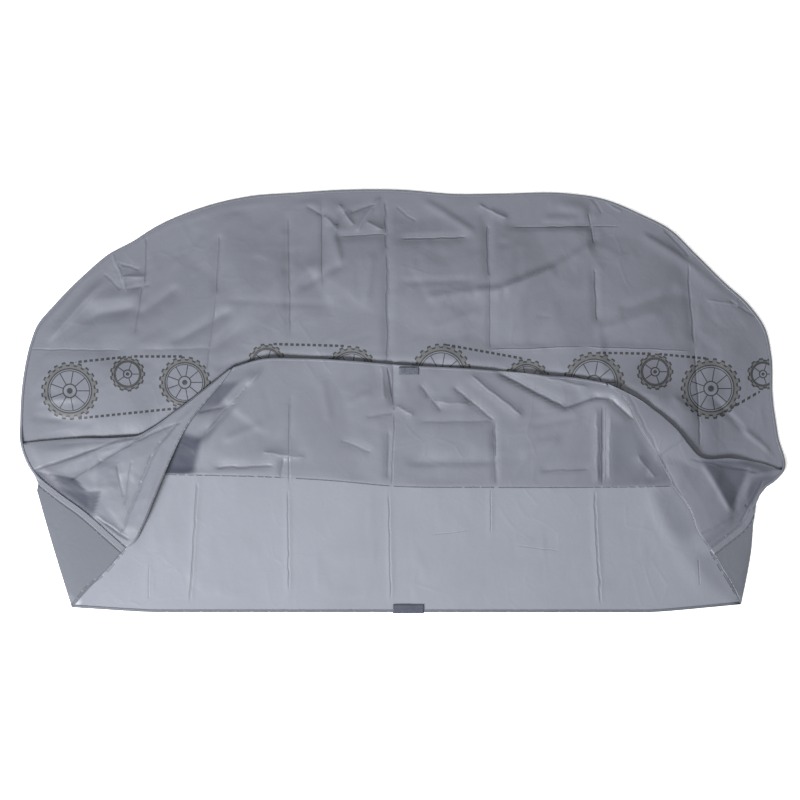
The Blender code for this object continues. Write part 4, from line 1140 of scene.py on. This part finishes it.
def make_toothed_wheel():
    """One printed wheel: a toothed rim, an inner ring, spokes and a hub."""
    tree, given, out = group("toothed wheel", [("Place", "NodeSocketVector", None)],
                             [("Ink", "NodeSocketFloat"), ("Rim", "NodeSocketFloat")])
    do = functools.partial(maths, tree)
    x, y, radius = put(tree, "ShaderNodeSeparateXYZ", Vector=given["Place"]).outputs
    share = do("SQRT", do("ADD", do("MULTIPLY", x, x), do("MULTIPLY", y, y)))
    angle = do("ARCTAN2", y, x)
    pen = do("DIVIDE", PEN, radius)

    def inked(distance, width):
        """1 within a pen's width of where distance is 0."""
        size = do("DIVIDE", do("ABSOLUTE", distance), do("MULTIPLY", pen, width))
        return ramp(tree, size, 0.75, 1.35, 1.0, 0.0, soft=True)

    teeth = do("COSINE", do("MULTIPLY", angle, do("ROUND", do("MULTIPLY", radius, TEETH))))
    tooth = ramp(tree, teeth, -0.35, 0.35, 0.90, 1.0, soft=True)
    ink = inked(do("SUBTRACT", share, tooth), 1.3)
    for ring, width in ((RIM, 1.0), (INNER_RING, 0.7), (HUB, 1.0)):
        ink = do("MAXIMUM", ink, inked(do("SUBTRACT", share, ring), width))
    ink = do("MAXIMUM", ink, ramp(tree, share, 0.09, 0.12, 1.0, 0.0))
    spokes = do("MULTIPLY_ADD", do("FLOOR", do("MULTIPLY", radius, SPOKES)), 2.0, 1.0)
    turn = do("SINE", do("MULTIPLY", angle, do("MULTIPLY", spokes, 0.5)))
    spread = do("DIVIDE", do("MULTIPLY", do("MULTIPLY", turn, share), 2.0), spokes)
    between = do("MULTIPLY", do("GREATER_THAN", share, HUB), do("LESS_THAN", share, INNER_RING))
    ink = do("MAXIMUM", ink, do("MULTIPLY", inked(spread, 0.75), between))
    grey = do("MULTIPLY", do("GREATER_THAN", share, RIM), do("LESS_THAN", share, tooth))
    fill(tree, out, Ink=ink, Rim=grey)
    return tree


# How much painted shade a pressed line lays on the film (a painted highlight where its depth is below 0) and
# how far it sinks into it, and where it gets no deeper.
LINE_SHADE, LINE_DEPTH, DEEPEST = 0.14, 0.0013, 0.75
WAVER, WAVER_SCALE = 0.8, 26.0            # how far a line strays, in its widths
WEAR_SCALE = 60.0                         # of the places where the ink is thin
CHAIN_DOTS, DOT_LENGTH, CHAIN_WIDTH = 430.0, -0.35, 0.42


def film_material(name, colour, with_print):
    """A panel's material: the film, its pressed lines with their painted shade and highlight, the painted
    shade patches and, outside, the print.
    """
    finish, tree, shader = new_finish(name)
    do = functools.partial(maths, tree)
    place = own_place(tree)
    base = use_group(tree, coated_film, Place=place, Colour=(*colour, 1.0))
    waver = noise(tree, place, WAVER_SCALE, 1.0)["Fac"]
    near = read_lines(tree, "crease_and_shade_lines", do("MULTIPLY_ADD", waver, 2.0 * WAVER, -WAVER))
    # Pressed lines darken the film as painted shade, or lighten it as a painted highlight where their depth
    # is below 0.
    lines = do("MULTIPLY", near["Line"], near["Depth"])
    shaded = do("MULTIPLY_ADD", lines, -LINE_SHADE, 1.0)
    shown = blend(tree, 1.0, base["Colour"], shaded, "MULTIPLY")
    # Painted shade: the patches darken the film towards a deep blue.
    shown = blend(tree, marked(tree, "painted_shade"), shown, PAINTED_SHADE_COLOUR)
    if with_print:
        wheel = use_group(tree, make_toothed_wheel(), Place=marked(tree, "wheel", "Vector"))
        across = put(tree, "ShaderNodeSeparateXYZ", Vector=place).outputs[0]
        dots = do("GREATER_THAN", do("SINE", do("MULTIPLY", across, CHAIN_DOTS)), DOT_LENGTH)
        link = do("GREATER_THAN", read_lines(tree, "link", 0.0)["Line"], CHAIN_WIDTH)
        ink = do("MAXIMUM", wheel["Ink"], do("MULTIPLY", link, dots))
        worn = ramp(tree, noise(tree, place, WEAR_SCALE, 3.0)["Fac"], 0.28, 0.42, 0.75, 0.97)
        sure = do("MULTIPLY", do("GREATER_THAN", marked(tree, "printed"), 0.5), worn)
        for mask, paint in ((wheel["Rim"], RIM_INK), (ink, INK)):
            shown = blend(tree, do("MULTIPLY", mask, sure), shown, paint)
    height = do("MULTIPLY_ADD", do("MINIMUM", lines, DEEPEST), -LINE_DEPTH, base["Height"])
    bump = put(tree, "ShaderNodeBump", Strength=1.0, Distance=1.0, Height=height)
    fill(tree, shader, Base_Color=shown, Roughness=base["Roughness"], Normal=bump.outputs[0],
         Specular_IOR_Level=0.45, Sheen_Weight=0.06)
    return finish


def painted_shade_share(data, layer):
    """Each face corner's share of painted shade, from the patches of its layer."""
    places = face_corners(data)[0]
    darkened = np.zeros(len(places))
    for wanted, amount, soft, outline in PAINTED_SHADE_PATCHES:
        outline = np.array(outline)
        inward = np.full(len(places), FAR)
        for start, end in zip(outline, np.roll(outline, -1, axis=0)):
            side, off = end - start, places - start
            across = (side[0] * off[:, 1] - side[1] * off[:, 0]) / np.hypot(*side)
            inward = np.minimum(inward, across)
        share = amount * smooth((inward + soft / 2) / soft)
        darkened = np.where(layer == wanted, 1.0 - (1.0 - darkened) * (1.0 - share), darkened)
    return darkened


FRONT_COLOUR = (0.118, 0.126, 0.153)
# A sharp line's width, the height of a fold that makes it fully deep, and its most depth: painted shade
# along a valley, a painted highlight along a ridge.
CRISP_WIDTH, CRISP_HEIGHT, CRISP_DEPTH = 0.0065, 0.005, 0.7


def crisp(table, widest):
    """The sharp line that a narrow fold has along its middle."""
    return [(*row[:4], CRISP_WIDTH, -max(-CRISP_DEPTH, min(CRISP_DEPTH, row[6] / CRISP_HEIGHT)))
            for row in table if min(row[4:6]) < widest]


def chain(line, width, depth):
    """A line of many points as rows that overlap a little, so that it shows no gaps."""
    start, end = line[:-1], line[1:]
    start, end = start - 0.25 * (end - start), end + 0.25 * (end - start)
    return [(*a, *b, width, depth) for a, b in zip(start, end)]


# The widest fold of each part that still shows a line, and the width and depth of the lines of painted shade
# along a corner's rim and hem, and of the print's chain.
FLAP_CRISP, FRONT_CRISP, CORNER_CRISP = 0.0155, 0.0115, 0.0125
RIM_SHADE_LINE, HEM_SHADE_LINE, LINK_LINE = (0.003, 1.3), (0.004, 2.6), (0.006, 1.0)
RIM_POINTS, HEM_POINTS = 14, np.linspace(0.02, 0.9, 24)
ALL_OUTSIDE = 0.9         # a face's mean mark above which all of its corners are outside
film = front_cloth.data
marks = read_all(film.attributes["printed"].data, "value")
marks = np.array([marks[list(face.vertices)].mean() for face in film.polygons])
outside, cornered = marks > ALL_OUTSIDE, marks < -ALL_OUTSIDE
sizes = face_corners(film)[2]
lines = nearest_lines(film, (*PRESSED_INSIDE, *crisp(FLAP_CREASES, FLAP_CRISP)))
lines = nearest_lines(film, (*PRESSED_OUTSIDE, *crisp(FRONT_CREASES, FRONT_CRISP)), outside, lines)
corner_lines = []
for side in ("left", "right"):
    for x0, h0, x1, h1, width, depth in crisp(CORNER_CREASES[side], CORNER_CRISP):
        if depth > 0.0:
            corner_lines += chain(np.array(((x0, h0), (x1, h1))), width, 1.3 * depth)
for side in ("left", "right"):
    reach = np.linspace(TURN[side] - 0.01 * INWARD[side], CORNER[side], RIM_POINTS)
    corner_lines += chain(seam(reach, BORDER + 0.0015), *RIM_SHADE_LINE)
    corner_lines += chain(curve(FRONT_HEM[side], HEM_POINTS), *HEM_SHADE_LINE)
lines[np.repeat(cornered, sizes)] = NO_LINE
keep_corners(film, "crease_and_shade_lines", nearest_lines(film, corner_lines, cornered, lines))
layer = np.where(outside, 1, np.where(cornered, -1, 0))
# The painted shade patches of the front panel, flap and corners, for each face corner.
keep_corners(film, "painted_shade", painted_shade_share(film, np.repeat(layer, sizes)))
keep_corners(film, "link", nearest_lines(film, [(*link, *LINK_LINE) for link in LINKS]))
keep_corners(film, "wheel", wheel_places(film))
film.materials.append(film_material("front film", FRONT_COLOUR, True))
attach(front_cloth, "root")
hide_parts("front_panel")

# ======== Back panel ========
# The other half-moon of the same film. It lies on the floor with its inside up where the
# mouth is open, a single layer there, and its corners are folded in over it. Its hem is
# folded in twice and stitched as the front one is.
BACK_FOLD = {
    "left": ((-0.966, 0.352), (-0.919, 0.185), (-0.864, 0.010)),
    "right": ((0.932, 0.283), (0.920, 0.150), (0.892, 0.018)),
}
BACK_HEM = {
    "left": ((-0.727, 0.160), (-0.780, 0.097), (-0.822, 0.066), (-0.864, 0.010)),
    "right": ((0.816, 0.155), (0.843, 0.107), (0.866, 0.071), (0.892, 0.018)),
}
HEM_SAG = 0.003
BACK_COLUMN = 0.046       # from one column of the coarse mesh to the next
SIDE_COLUMNS, BACK_FOLD_POINTS = 3, 3
TURN_CUT, NOTCH = 0.012, 0.018   # next column before a turn, and its point in from the seam
FOLD_CUT = {"left": 0.036, "right": 0.056}   # from the turn to where the fold starts
RELAX_ROUNDS = 150
PUFF = 0.0016             # loft in the middle of a folded corner
ON_FLOOR = 0.0004         # the film lies on the floor where it is less than this above it
BACK_CRUMPLE = (5, 150, ((-0.9, 0.0), (0.9, 0.36)), 0.0006)
BACK_CREASES = (
    # x, h, x, h, width of side a, width of side b, height
    (-0.533, 0.349, -0.554, 0.018, 0.010, 0.014, 0.0015),
    (-0.297, 0.323, -0.294, 0.050, 0.010, 0.014, 0.0014),
    (-0.032, 0.312, -0.026, 0.024, 0.012, 0.010, 0.0013),
    (0.236, 0.323, 0.236, 0.202, 0.008, 0.012, 0.0012),
    (0.507, 0.323, 0.525, 0.008, 0.012, 0.014, 0.0015),
    (-0.659, 0.134, -0.664, 0.029, 0.008, 0.010, 0.0010),
    (0.780, 0.144, 0.785, 0.060, 0.008, 0.010, 0.0010),
    (0.076, 0.197, 0.186, 0.213, 0.008, 0.012, 0.0011),
    (0.302, 0.173, 0.423, 0.158, 0.008, 0.012, 0.0011),
    (-0.570, 0.123, -0.512, 0.055, 0.008, 0.010, 0.0011),
    (-0.517, 0.055, -0.423, 0.045, 0.008, 0.008, 0.0009),
    (-0.423, 0.186, -0.365, 0.134, 0.010, 0.010, 0.0009),
    (-0.265, 0.134, -0.076, 0.155, 0.010, 0.010, 0.0009),
    (0.627, 0.239, 0.701, 0.134, 0.012, 0.012, 0.0012),
    (0.417, 0.050, 0.627, 0.066, 0.008, 0.010, 0.0009),
    (-0.186, 0.039, -0.055, 0.055, 0.008, 0.008, 0.0008),
    (0.650, 0.322, 0.725, 0.165, 0.055, 0.040, 0.0036),
    (0.725, 0.165, 0.815, 0.045, 0.045, 0.040, 0.0030),
    (-0.585, 0.349, -0.633, 0.239, 0.030, 0.016, 0.0014),
)


def corner_stations(side):
    """Distances along the seam from a pole to its corner, for the columns to start at."""
    pole, turn, corner, sense = POLE[side], TURN[side], CORNER[side], INWARD[side]
    near = (pole, (pole + turn) / 2, turn + sense * TURN_CUT, turn,
            turn - sense * TURN_REACH / 2, turn - sense * TURN_REACH)
    crest = pole + CREST_SHARE * (corner - pole)
    far = np.linspace(near[-1], crest, 5)[1:]
    return np.concatenate((near, far, (pole + 0.9 * (corner - pole), corner)))


def relax(places):
    """Evens out the inner points of a patch between its set rims."""
    for _ in range(RELAX_ROUNDS):
        around = places[:-2, 1:-1] + places[2:, 1:-1] + places[1:-1, :-2] + places[1:-1, 2:]
        places[1:-1, 1:-1] = around / 4


coarse_x = columns((MAIN_FOLD[0][0] + POLE_CUT, turn_x["left"], turn_x["right"],
                    MAIN_FOLD[-1][0] - POLE_CUT), BACK_COLUMN)
coarse_fold = np.stack((coarse_x, height_on(MAIN_FOLD, coarse_x)), axis=1)
coarse_reach = crown_reach(coarse_fold, POLE["left"], POLE["right"])
hem_x = coarse_x[np.abs(coarse_x) < SHOULDER]
lower = [np.stack((hem_x, np.full_like(hem_x, -HEM_SAG)), axis=1)]
sides, folds, hem_ends = {}, {}, {}
back_radius = (BACK_EDGE_Z - BACK_Z) / 2
for side, last in (("left", slice(None, SIDE_COLUMNS)), ("right", slice(-SIDE_COLUMNS, None))):
    stations = np.concatenate((corner_stations(side)[:3], coarse_reach[last]))
    sides[side] = np.unique(stations)[::-int(INWARD[side])]
    line = curve(BACK_FOLD[side], np.linspace(0.0, 1.0, BACK_FOLD_POINTS))
    line[0] += FOLD_CUT[side] * (line[-1] - line[0]) / np.linalg.norm(line[-1] - line[0])
    folds[side] = (line, INWARD[side] * right_hand(line))
    notch = seam(np.array([TURN[side]]), NOTCH)
    part = np.concatenate((seam(sides[side][-1:], BORDER), notch,
                           line - back_radius * folds[side][1]))
    hem_ends[side] = part[-1:]
    lower = [part, *lower] if side == "left" else [*lower, part[::-1]]
hem_line = np.concatenate((hem_ends["left"], lower[1], hem_ends["right"]))
lower = np.concatenate(lower)
top_reach = coarse_reach[SIDE_COLUMNS - 1:1 - SIDE_COLUMNS]
left_side, right_side = seam(sides["left"], BORDER), seam(sides["right"], BORDER)
down = ((shares_of(left_side) + shares_of(right_side)) / 2)[:, None, None]
back_body = (1 - down) * seam(top_reach, BORDER)[None] + down * lower[None]
back_body[:, 0], back_body[:, -1] = left_side, right_side
upright = np.flatnonzero(np.abs(lower[:, 0]) < SHOULDER)
relax(back_body[:, :upright[0] + 1])
relax(back_body[:, upright[-1]:])
heights = np.full(back_body.shape[:2], BACK_Z)
heights[0], heights[:, 0], heights[:, -1] = BACK_EDGE_Z, BACK_EDGE_Z, BACK_EDGE_Z
back_grids = [(with_height(back_body, heights), 1.0)]
hem_part = with_height(back_body, heights)[:, lower[:, 1] < 0.02]
hem_turn = turned_hem(hem_part, 1.0)
hem_turn[:, 0] = hem_turn[0, 0] + hem_turn[:, 1] - hem_turn[0, 1]
hem_turn[:, -1] = hem_turn[0, -1] + hem_turn[:, -2] - hem_turn[0, -2]
back_grids.append((hem_turn, 1.0))
for reach in (top_reach, sides["left"], sides["right"]):
    strip = np.stack((seam(reach, EDGE_INSET), seam(reach, BORDER)))
    back_grids.append((with_height(strip, np.full(strip.shape[:2], BACK_EDGE_Z)), 1.0))
for side, (line, outward) in folds.items():
    turned = roll(line, outward, np.full(len(line), BACK_Z), back_radius, 3)
    reach = corner_stations(side)[5:]
    down = (reach - reach[0]) / (reach[-1] - reach[0])
    seam_side = seam(reach, -BORDER)
    row = np.concatenate((seam_side[:1], turned[-1, :, :2]))
    patch, across = corner_patch(row, seam_side, BACK_HEM[side], down)
    puff = PUFF * np.sin(math.pi * across)[None] * smooth(down / 0.5)[:, None]
    edge = with_height(seam(reach, -OPEN_INSET), np.full(len(reach), BACK_EDGE_Z))
    border = np.stack((edge, with_height(seam_side, edge[:, 2])), axis=1)
    patch = with_height(patch, BACK_EDGE_Z + puff)
    back_grids += [(turned, 0.0), (border, 0.0), (patch, 0.0), (turned_hem(patch, -0.8), 0.0)]
back_cloth = cloth_mesh("back_cloth", back_grids, FILM)



def shown_mesh(piece):
    """The piece's mesh with its modifiers applied."""
    shown = piece.evaluated_get(bpy.context.evaluated_depsgraph_get())
    return bpy.data.meshes.new_from_object(shown)


rounder = back_cloth.modifiers.new("rounder", "SUBSURF")
rounder.levels = rounder.render_levels = 3
rounder.boundary_smooth = "PRESERVE_CORNERS"
back_cloth.modifiers.move(1, 0)
back_cloth.modifiers["thickness"].show_viewport = False
fine = shown_mesh(back_cloth)
back_cloth.modifiers["thickness"].show_viewport = True
back_cloth.modifiers.remove(rounder)
spots = read_all(fine.vertices, "co", width=3).astype(float)
flat_spots = (spots - LAID)[:, :2]
lying = spots[:, 2] < BACK_Z + ON_FLOOR
open_floor = smooth((height_on(MAIN_FOLD, flat_spots[:, 0]) + 0.02 - flat_spots[:, 1]) / 0.04)
risen = creases(flat_spots, BACK_CREASES) + np.abs(crumple(flat_spots, *BACK_CRUMPLE))
risen *= open_floor * smooth((flat_spots[:, 1] - 0.012) / 0.03)
spots[:, 2] += np.where(lying, np.clip(risen, 0.0, None), 0.0)
# On the back, printed marks where the film lies on the floor: the mask for the painted shade of the folded
# corners.
fine.attributes["printed"].data.foreach_set("value", lying.astype(np.float32))
fine.vertices.foreach_set("co", spots.astype(np.float32).ravel())
fine.update()
coarse = back_cloth.data
back_cloth.data = fine
bpy.data.meshes.remove(coarse)
fine.name = "back_cloth"
fine.shade_smooth()

# Paler than the front's film: painted light, for the floor's light coming up through the single layer.
BACK_LIT_COLOUR = (0.170, 0.181, 0.214)
# Dark lines of shade: along the outer edge of the open binding, the corners' hems, the
# main fold and the hem. Each is width, depth.
BINDING_SHADE, CORNER_SHADE = (0.0036, 1.8), (0.0050, 2.0)
FOLD_SHADE, HEM_SHADE = (0.0034, 1.3), (0.0034, 2.2)
shade = []
for side in ("left", "right"):
    reach = np.linspace(TURN[side] - 0.02 * INWARD[side], CORNER[side], 12)
    shade += chain(seam(reach, -0.0088), *BINDING_SHADE)
for side in ("left", "right"):
    shade += chain(curve(BACK_HEM[side], np.linspace(0.0, 1.0, 10)), *CORNER_SHADE)
mouth_x = np.linspace(-0.62, 0.70, 30)
line = np.stack((mouth_x, height_on(MAIN_FOLD, mouth_x) - 0.0012), axis=1)
shade += chain(line, *FOLD_SHADE) + chain(hem_line + np.array((0.0, 0.0005)), *HEM_SHADE)
keep_corners(fine, "crease_and_shade_lines", nearest_lines(fine, [*PRESSED_INSIDE, *shade]))
# The painted shade patches of the back panel.
keep_corners(fine, "painted_shade", painted_shade_share(fine, np.full(len(fine.loops), 2)))
back_finish = film_material("back film", BACK_LIT_COLOUR, False)
# Where the corner is folded in, two layers lie on each other and less of the floor's light would come
# through, so painted shade darkens the film there until it looks as dark as the front's.
FOLDED_PAINTED_SHADE = (0.54, 0.55, 0.57, 1.0)
tree = back_finish.node_tree
shader = tree.nodes["Principled BSDF"]
thin = shader.inputs["Base Color"].links[0].from_socket
folded = maths(tree, "LESS_THAN", marked(tree, "printed"), 0.5)
fill(tree, shader, Base_Color=blend(tree, folded, thin, FOLDED_PAINTED_SHADE, "MULTIPLY"))
fine.materials.append(back_finish)
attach(back_cloth, "root")
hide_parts("back_panel")

# ======== Seam binding ========
# One narrow tape of the same film, folded over both panels' edges all round the arc and
# stitched through. Across each squashed corner it lies open, gathered a little.
TAPE_HALF = 0.0075
TAPE_FILM = 0.0004
TAPE_Z, TAPE_RISE = 0.0009, 0.0009   # its lower side, and its top over the front panel's edge
TAPE_STEP = 0.006
TAPE_ROWS = 15
GATHER, OPEN_GATHER = 0.00028, 0.00025   # height of its small waves, and of more where open
TAPE_SECTION = np.array((
    # wrapped: inset, height   hanging: inset, height   open flat: inset
    (TAPE_HALF, 1.00, TAPE_HALF, 1.00, TAPE_HALF),
    (0.0025, 1.00, 0.0025, 1.00, 0.0050),
    (0.0011, 0.85, 0.0011, 0.97, 0.0030),
    (0.0005, 0.50, 0.0005, 0.50, 0.0000),
    (0.0011, 0.15, 0.0004, 0.33, -0.0025),
    (0.0025, 0.00, 0.0003, 0.18, -0.0050),
    (TAPE_HALF, 0.00, 0.0003, 0.05, -TAPE_HALF),
))
tape_reach = np.linspace(0.0, END, int(END / TAPE_STEP))
tape_top = front_edge_height(tape_reach) + TAPE_RISE
tape_base = seam(tape_reach, 0.0)
tape_normal = (seam(tape_reach, BORDER) - tape_base) / BORDER
hang_share = np.clip(1.0 + past_turn(tape_reach) / TURN_CUT, 0.0, 1.0)
flat_share = np.clip(past_turn(tape_reach) / TURN_REACH, 0.0, 1.0)
gather = GATHER * np.sin(tape_reach * 310.0) * np.sin(tape_reach * 47.0 + 1.0)
gather += OPEN_GATHER * flat_share * np.sin(tape_reach * 230.0 + 2.0)


def tape_row(k):
    """One row along the tape, from its upper edge, k = 0, round to its lower one, k = 6."""
    wrap_in, wrap_up, hang_in, hang_up, flat_in = (
        np.interp(k, np.arange(len(TAPE_SECTION)), TAPE_SECTION[:, n]) for n in range(5))
    inset = wrap_in + (hang_in - wrap_in) * hang_share
    up = wrap_up + (hang_up - wrap_up) * hang_share
    inset = inset + (flat_in - inset) * flat_share
    up = up + (1.0 - up) * flat_share
    height = TAPE_Z + (tape_top - TAPE_Z) * up + gather * up * (0.4 + 0.6 * np.cos(2.0 * k))
    return with_height(tape_base + inset[:, None] * tape_normal, height)


section = [tape_row(k) for k in np.linspace(0, len(TAPE_SECTION) - 1, TAPE_ROWS)]
tape = cloth_mesh("binding_tape", [(np.stack(section), 0.0)], TAPE_FILM)
TAPE_COLOUR = (0.122, 0.130, 0.157)
tape.data.materials.append(film_material("binding film", TAPE_COLOUR, False))
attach(tape, "root")
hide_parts("seam_binding")

# ======== Hem tabs ========
# Two short lengths of darker woven tape, one caught in each hem at the centre, that show
# where the middle of the bag is.
TABS = (
    # piece, node, x low, x high, h low, h high, colour
    ("front_tab", "front_hem_tab", -0.005, 0.046, 0.620, 0.640, (0.070, 0.078, 0.106)),
    ("back_tab", "back_hem_tab", -0.021, 0.060, -0.006, 0.017, (0.044, 0.051, 0.074)),
)


TAB_FILM, TAB_LIFT, TAB_WAVE = 0.0008, 0.0026, 0.0004
RIBS, PICKS = 5200.0, 6100.0   # of the weave, along x and y


def woven_tape(name, colour):
    finish, tree, shader = new_finish(name)
    do = functools.partial(maths, tree)
    place = own_place(tree)
    parts = put(tree, "ShaderNodeSeparateXYZ", Vector=place).outputs
    ribs = do("SINE", do("MULTIPLY", parts[0], RIBS))
    picks = do("SINE", do("MULTIPLY", parts[1], PICKS))
    weave = do("MULTIPLY", ribs, picks)
    cloud = ramp(tree, noise(tree, place, 120.0, 3.0)["Fac"], 0.3, 0.7, 0.85, 1.15)
    shade = do("MULTIPLY_ADD", weave, 0.08, cloud)
    bump = put(tree, "ShaderNodeBump", Strength=0.6, Distance=0.0002, Height=weave)
    fill(tree, shader, Base_Color=blend(tree, 1.0, (*colour, 1.0), shade, "MULTIPLY"),
         Normal=bump.outputs[0], Roughness=0.72)
    return finish


for name, node, x0, x1, h0, h1, colour in TABS:
    x, h = np.meshgrid(np.linspace(x0, x1, 28), np.linspace(h0, h1, 10))
    places = np.stack((x, h), axis=-1)
    lift = TAB_LIFT + TAB_WAVE * np.sin(60.0 * x + 1.0)
    under = flap_height(places) if node == "front_hem_tab" else np.full(x.shape, BACK_Z)
    tab = cloth_mesh(name, [(with_height(places, under + lift), 0.0)], TAB_FILM)
    tab.data.materials.append(woven_tape(name.replace("_", " "), colour))
    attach(tab, "root")
    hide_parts(node)

# ======== Stitching ========
# One row of plain lockstitch in grey thread along the binding's upper edge and along each
# hem. Every stitch is a short bar of thread that sits half sunk in the film.
STITCH_PITCH, STITCH_LENGTH, THREAD = 0.0038, 0.0027, 0.00052
THREAD_COLOUR = (0.155, 0.163, 0.190, 1.0)
HEM_ROW = 0.0046          # from the hem's edge to its row of stitches


def between(rows, share):
    """A row of points between two."""
    return rows[0] + share * (rows[1] - rows[0])


seam_rows = [between(front_turn[3:5], 0.4), between(hem_turn[3:5], 0.4), tape_row(0.3)[3:-3]]
seam_rows += [back_from_hem(patch, HEM_ROW)[2:-2] for patch in corner_hems.values()]
row_places, row_edges = [], []
for row in seam_rows:
    first = len(row_places)
    row_places += [tuple(spot) for spot in row + LAID + np.array((0.0, 0.0, FILM / 2))]
    row_edges += [(first + k, first + k + 1) for k in range(len(row) - 1)]
stitch_data = bpy.data.meshes.new("stitching")
stitch_data.from_pydata(row_places, row_edges, [])
stitching = set_down("stitching", stitch_data)

thread_finish, thread_tree, thread_shader = new_finish("thread")
fuzz = noise(thread_tree, own_place(thread_tree), 700.0, 2.0)["Fac"]
dark_thread = tuple(0.8 * value for value in THREAD_COLOUR[:3]) + (1.0,)
fill(thread_tree, thread_shader, Roughness=0.65,
     Base_Color=blend(thread_tree, fuzz, dark_thread, THREAD_COLOUR))


def make_stitch_tree():
    """Sets a bar of thread at each pitch along every row of a mesh of lines."""
    tree = bpy.data.node_groups.new("stitches", "GeometryNodeTree")
    tree.interface.new_socket(name="Rows", in_out="INPUT", socket_type="NodeSocketGeometry")
    for label in ("Pitch", "Length", "Thickness"):
        tree.interface.new_socket(name=label, in_out="INPUT", socket_type="NodeSocketFloat")
    tree.interface.new_socket(name="Stitches", in_out="OUTPUT", socket_type="NodeSocketGeometry")
    given = tree.nodes.new("NodeGroupInput").outputs
    line = put(tree, "GeometryNodeMeshToCurve", Mesh=given["Rows"]).outputs["Curve"]
    spaced = put(tree, "GeometryNodeResampleCurve", mode="LENGTH", Curve=line,
                 Length=given["Pitch"]).outputs["Curve"]
    half = maths(tree, "MULTIPLY", given["Thickness"], 0.5)
    bar = put(tree, "GeometryNodeMeshCylinder", Vertices=5, Radius=half, Depth=given["Length"])
    along = put(tree, "GeometryNodeInputTangent").outputs["Tangent"]
    turn = put(tree, "FunctionNodeAlignRotationToVector", axis="Z", Vector=along)
    placed = put(tree, "GeometryNodeInstanceOnPoints", Points=spaced,
                 Instance=bar.outputs["Mesh"], Rotation=turn.outputs["Rotation"])
    real = put(tree, "GeometryNodeRealizeInstances", Geometry=placed.outputs["Instances"])
    done = put(tree, "GeometryNodeSetMaterial", Geometry=real.outputs["Geometry"],
               Material=thread_finish)
    put(tree, "NodeGroupOutput", Stitches=done.outputs["Geometry"])
    return tree


sewn = stitching.modifiers.new("stitches", "NODES")
sewn.node_group = make_stitch_tree()
stitch_sizes = {"Pitch": STITCH_PITCH, "Length": STITCH_LENGTH, "Thickness": THREAD}
for item in sewn.node_group.interface.items_tree:
    if item.name in stitch_sizes:
        sewn[item.identifier] = stitch_sizes[item.name]
bars = shown_mesh(stitching)
stitching.modifiers.remove(sewn)
stitching.data = bars
bpy.data.meshes.remove(stitch_data)
bars.name = "stitching"
bars.shade_smooth()
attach(stitching, "root")

# ======== Studio ========
# A plain pale floor, soft light from large boxes and a camera straight above the cover,
# as in the photograph.
FLOOR_REACH = 8
corners = [(x * FLOOR_REACH, y * FLOOR_REACH, 0) for x, y in ((-1, -1), (1, -1), (1, 1), (-1, 1))]
floor_data = bpy.data.meshes.new("studio_floor")
floor_data.from_pydata(corners, [], [(0, 1, 2, 3)])
floor = set_down("studio_floor", floor_data)
floor_finish, floor_tree, floor_shader = new_finish("studio floor")
fill(floor_tree, floor_shader, Base_Color=(0.96, 0.96, 0.96, 1.0), Roughness=0.85,
     Emission_Color=(1.0, 1.0, 1.0, 1.0), Emission_Strength=0.28)
floor_data.materials.append(floor_finish)
floor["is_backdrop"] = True


def light_box(name, place, target, size, power):
    """A lamp behind a square of cloth, turned towards a spot on the cover."""
    lamp = bpy.data.lights.new(name, "AREA")
    lamp.shape = "RECTANGLE"
    lamp.size, lamp.size_y = size
    lamp.energy = power
    box = set_down(name, lamp)
    off = np.array(target, float) - np.array(place, float)
    box.location = place
    yaw = math.atan2(off[1], off[0])
    pitch = math.atan2(math.hypot(off[0], off[1]), -off[2])
    box.rotation_euler = (0.0, -pitch, yaw)
    return lamp


key_box = light_box("key box", place=(-2.8, -3.2, 2.7), target=(-0.1, 0.0, 0.0),
                    size=(1.9, 1.9), power=150.0)
key_box.spread = math.radians(90.0)
light_box("top box", place=(0.2, 0.2, 4.2), target=(0.0, 0.0, 0.0), size=(3.0, 3.0),
          power=70.0)
world = bpy.data.worlds.new("studio")
world.use_nodes = True
fill(world.node_tree, world.node_tree.nodes["Background"], Color=(1.0, 1.0, 1.0, 1.0),
     Strength=0.20)
bpy.context.scene.world = world
bpy.context.scene.view_settings.view_transform = "Standard"

VIEW_WIDTH, VIEW_HEIGHT, SENSOR = 2.1, 7.0, 36.0
VIEW_MIDDLE = (-0.0026, 0.554)
camera_data = bpy.data.cameras.new("camera")
camera_data.sensor_width = SENSOR
camera_data.lens = SENSOR * VIEW_HEIGHT / VIEW_WIDTH
camera_data.clip_end = 40.0
camera = set_down("camera", camera_data)
camera.location = (VIEW_MIDDLE[0] + LAID[0], VIEW_MIDDLE[1] + LAID[1], VIEW_HEIGHT)
bpy.context.scene.camera = camera

sizes = {"cad": [list(corner) for corner in cad_box], "visual": [list(corner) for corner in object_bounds()]}
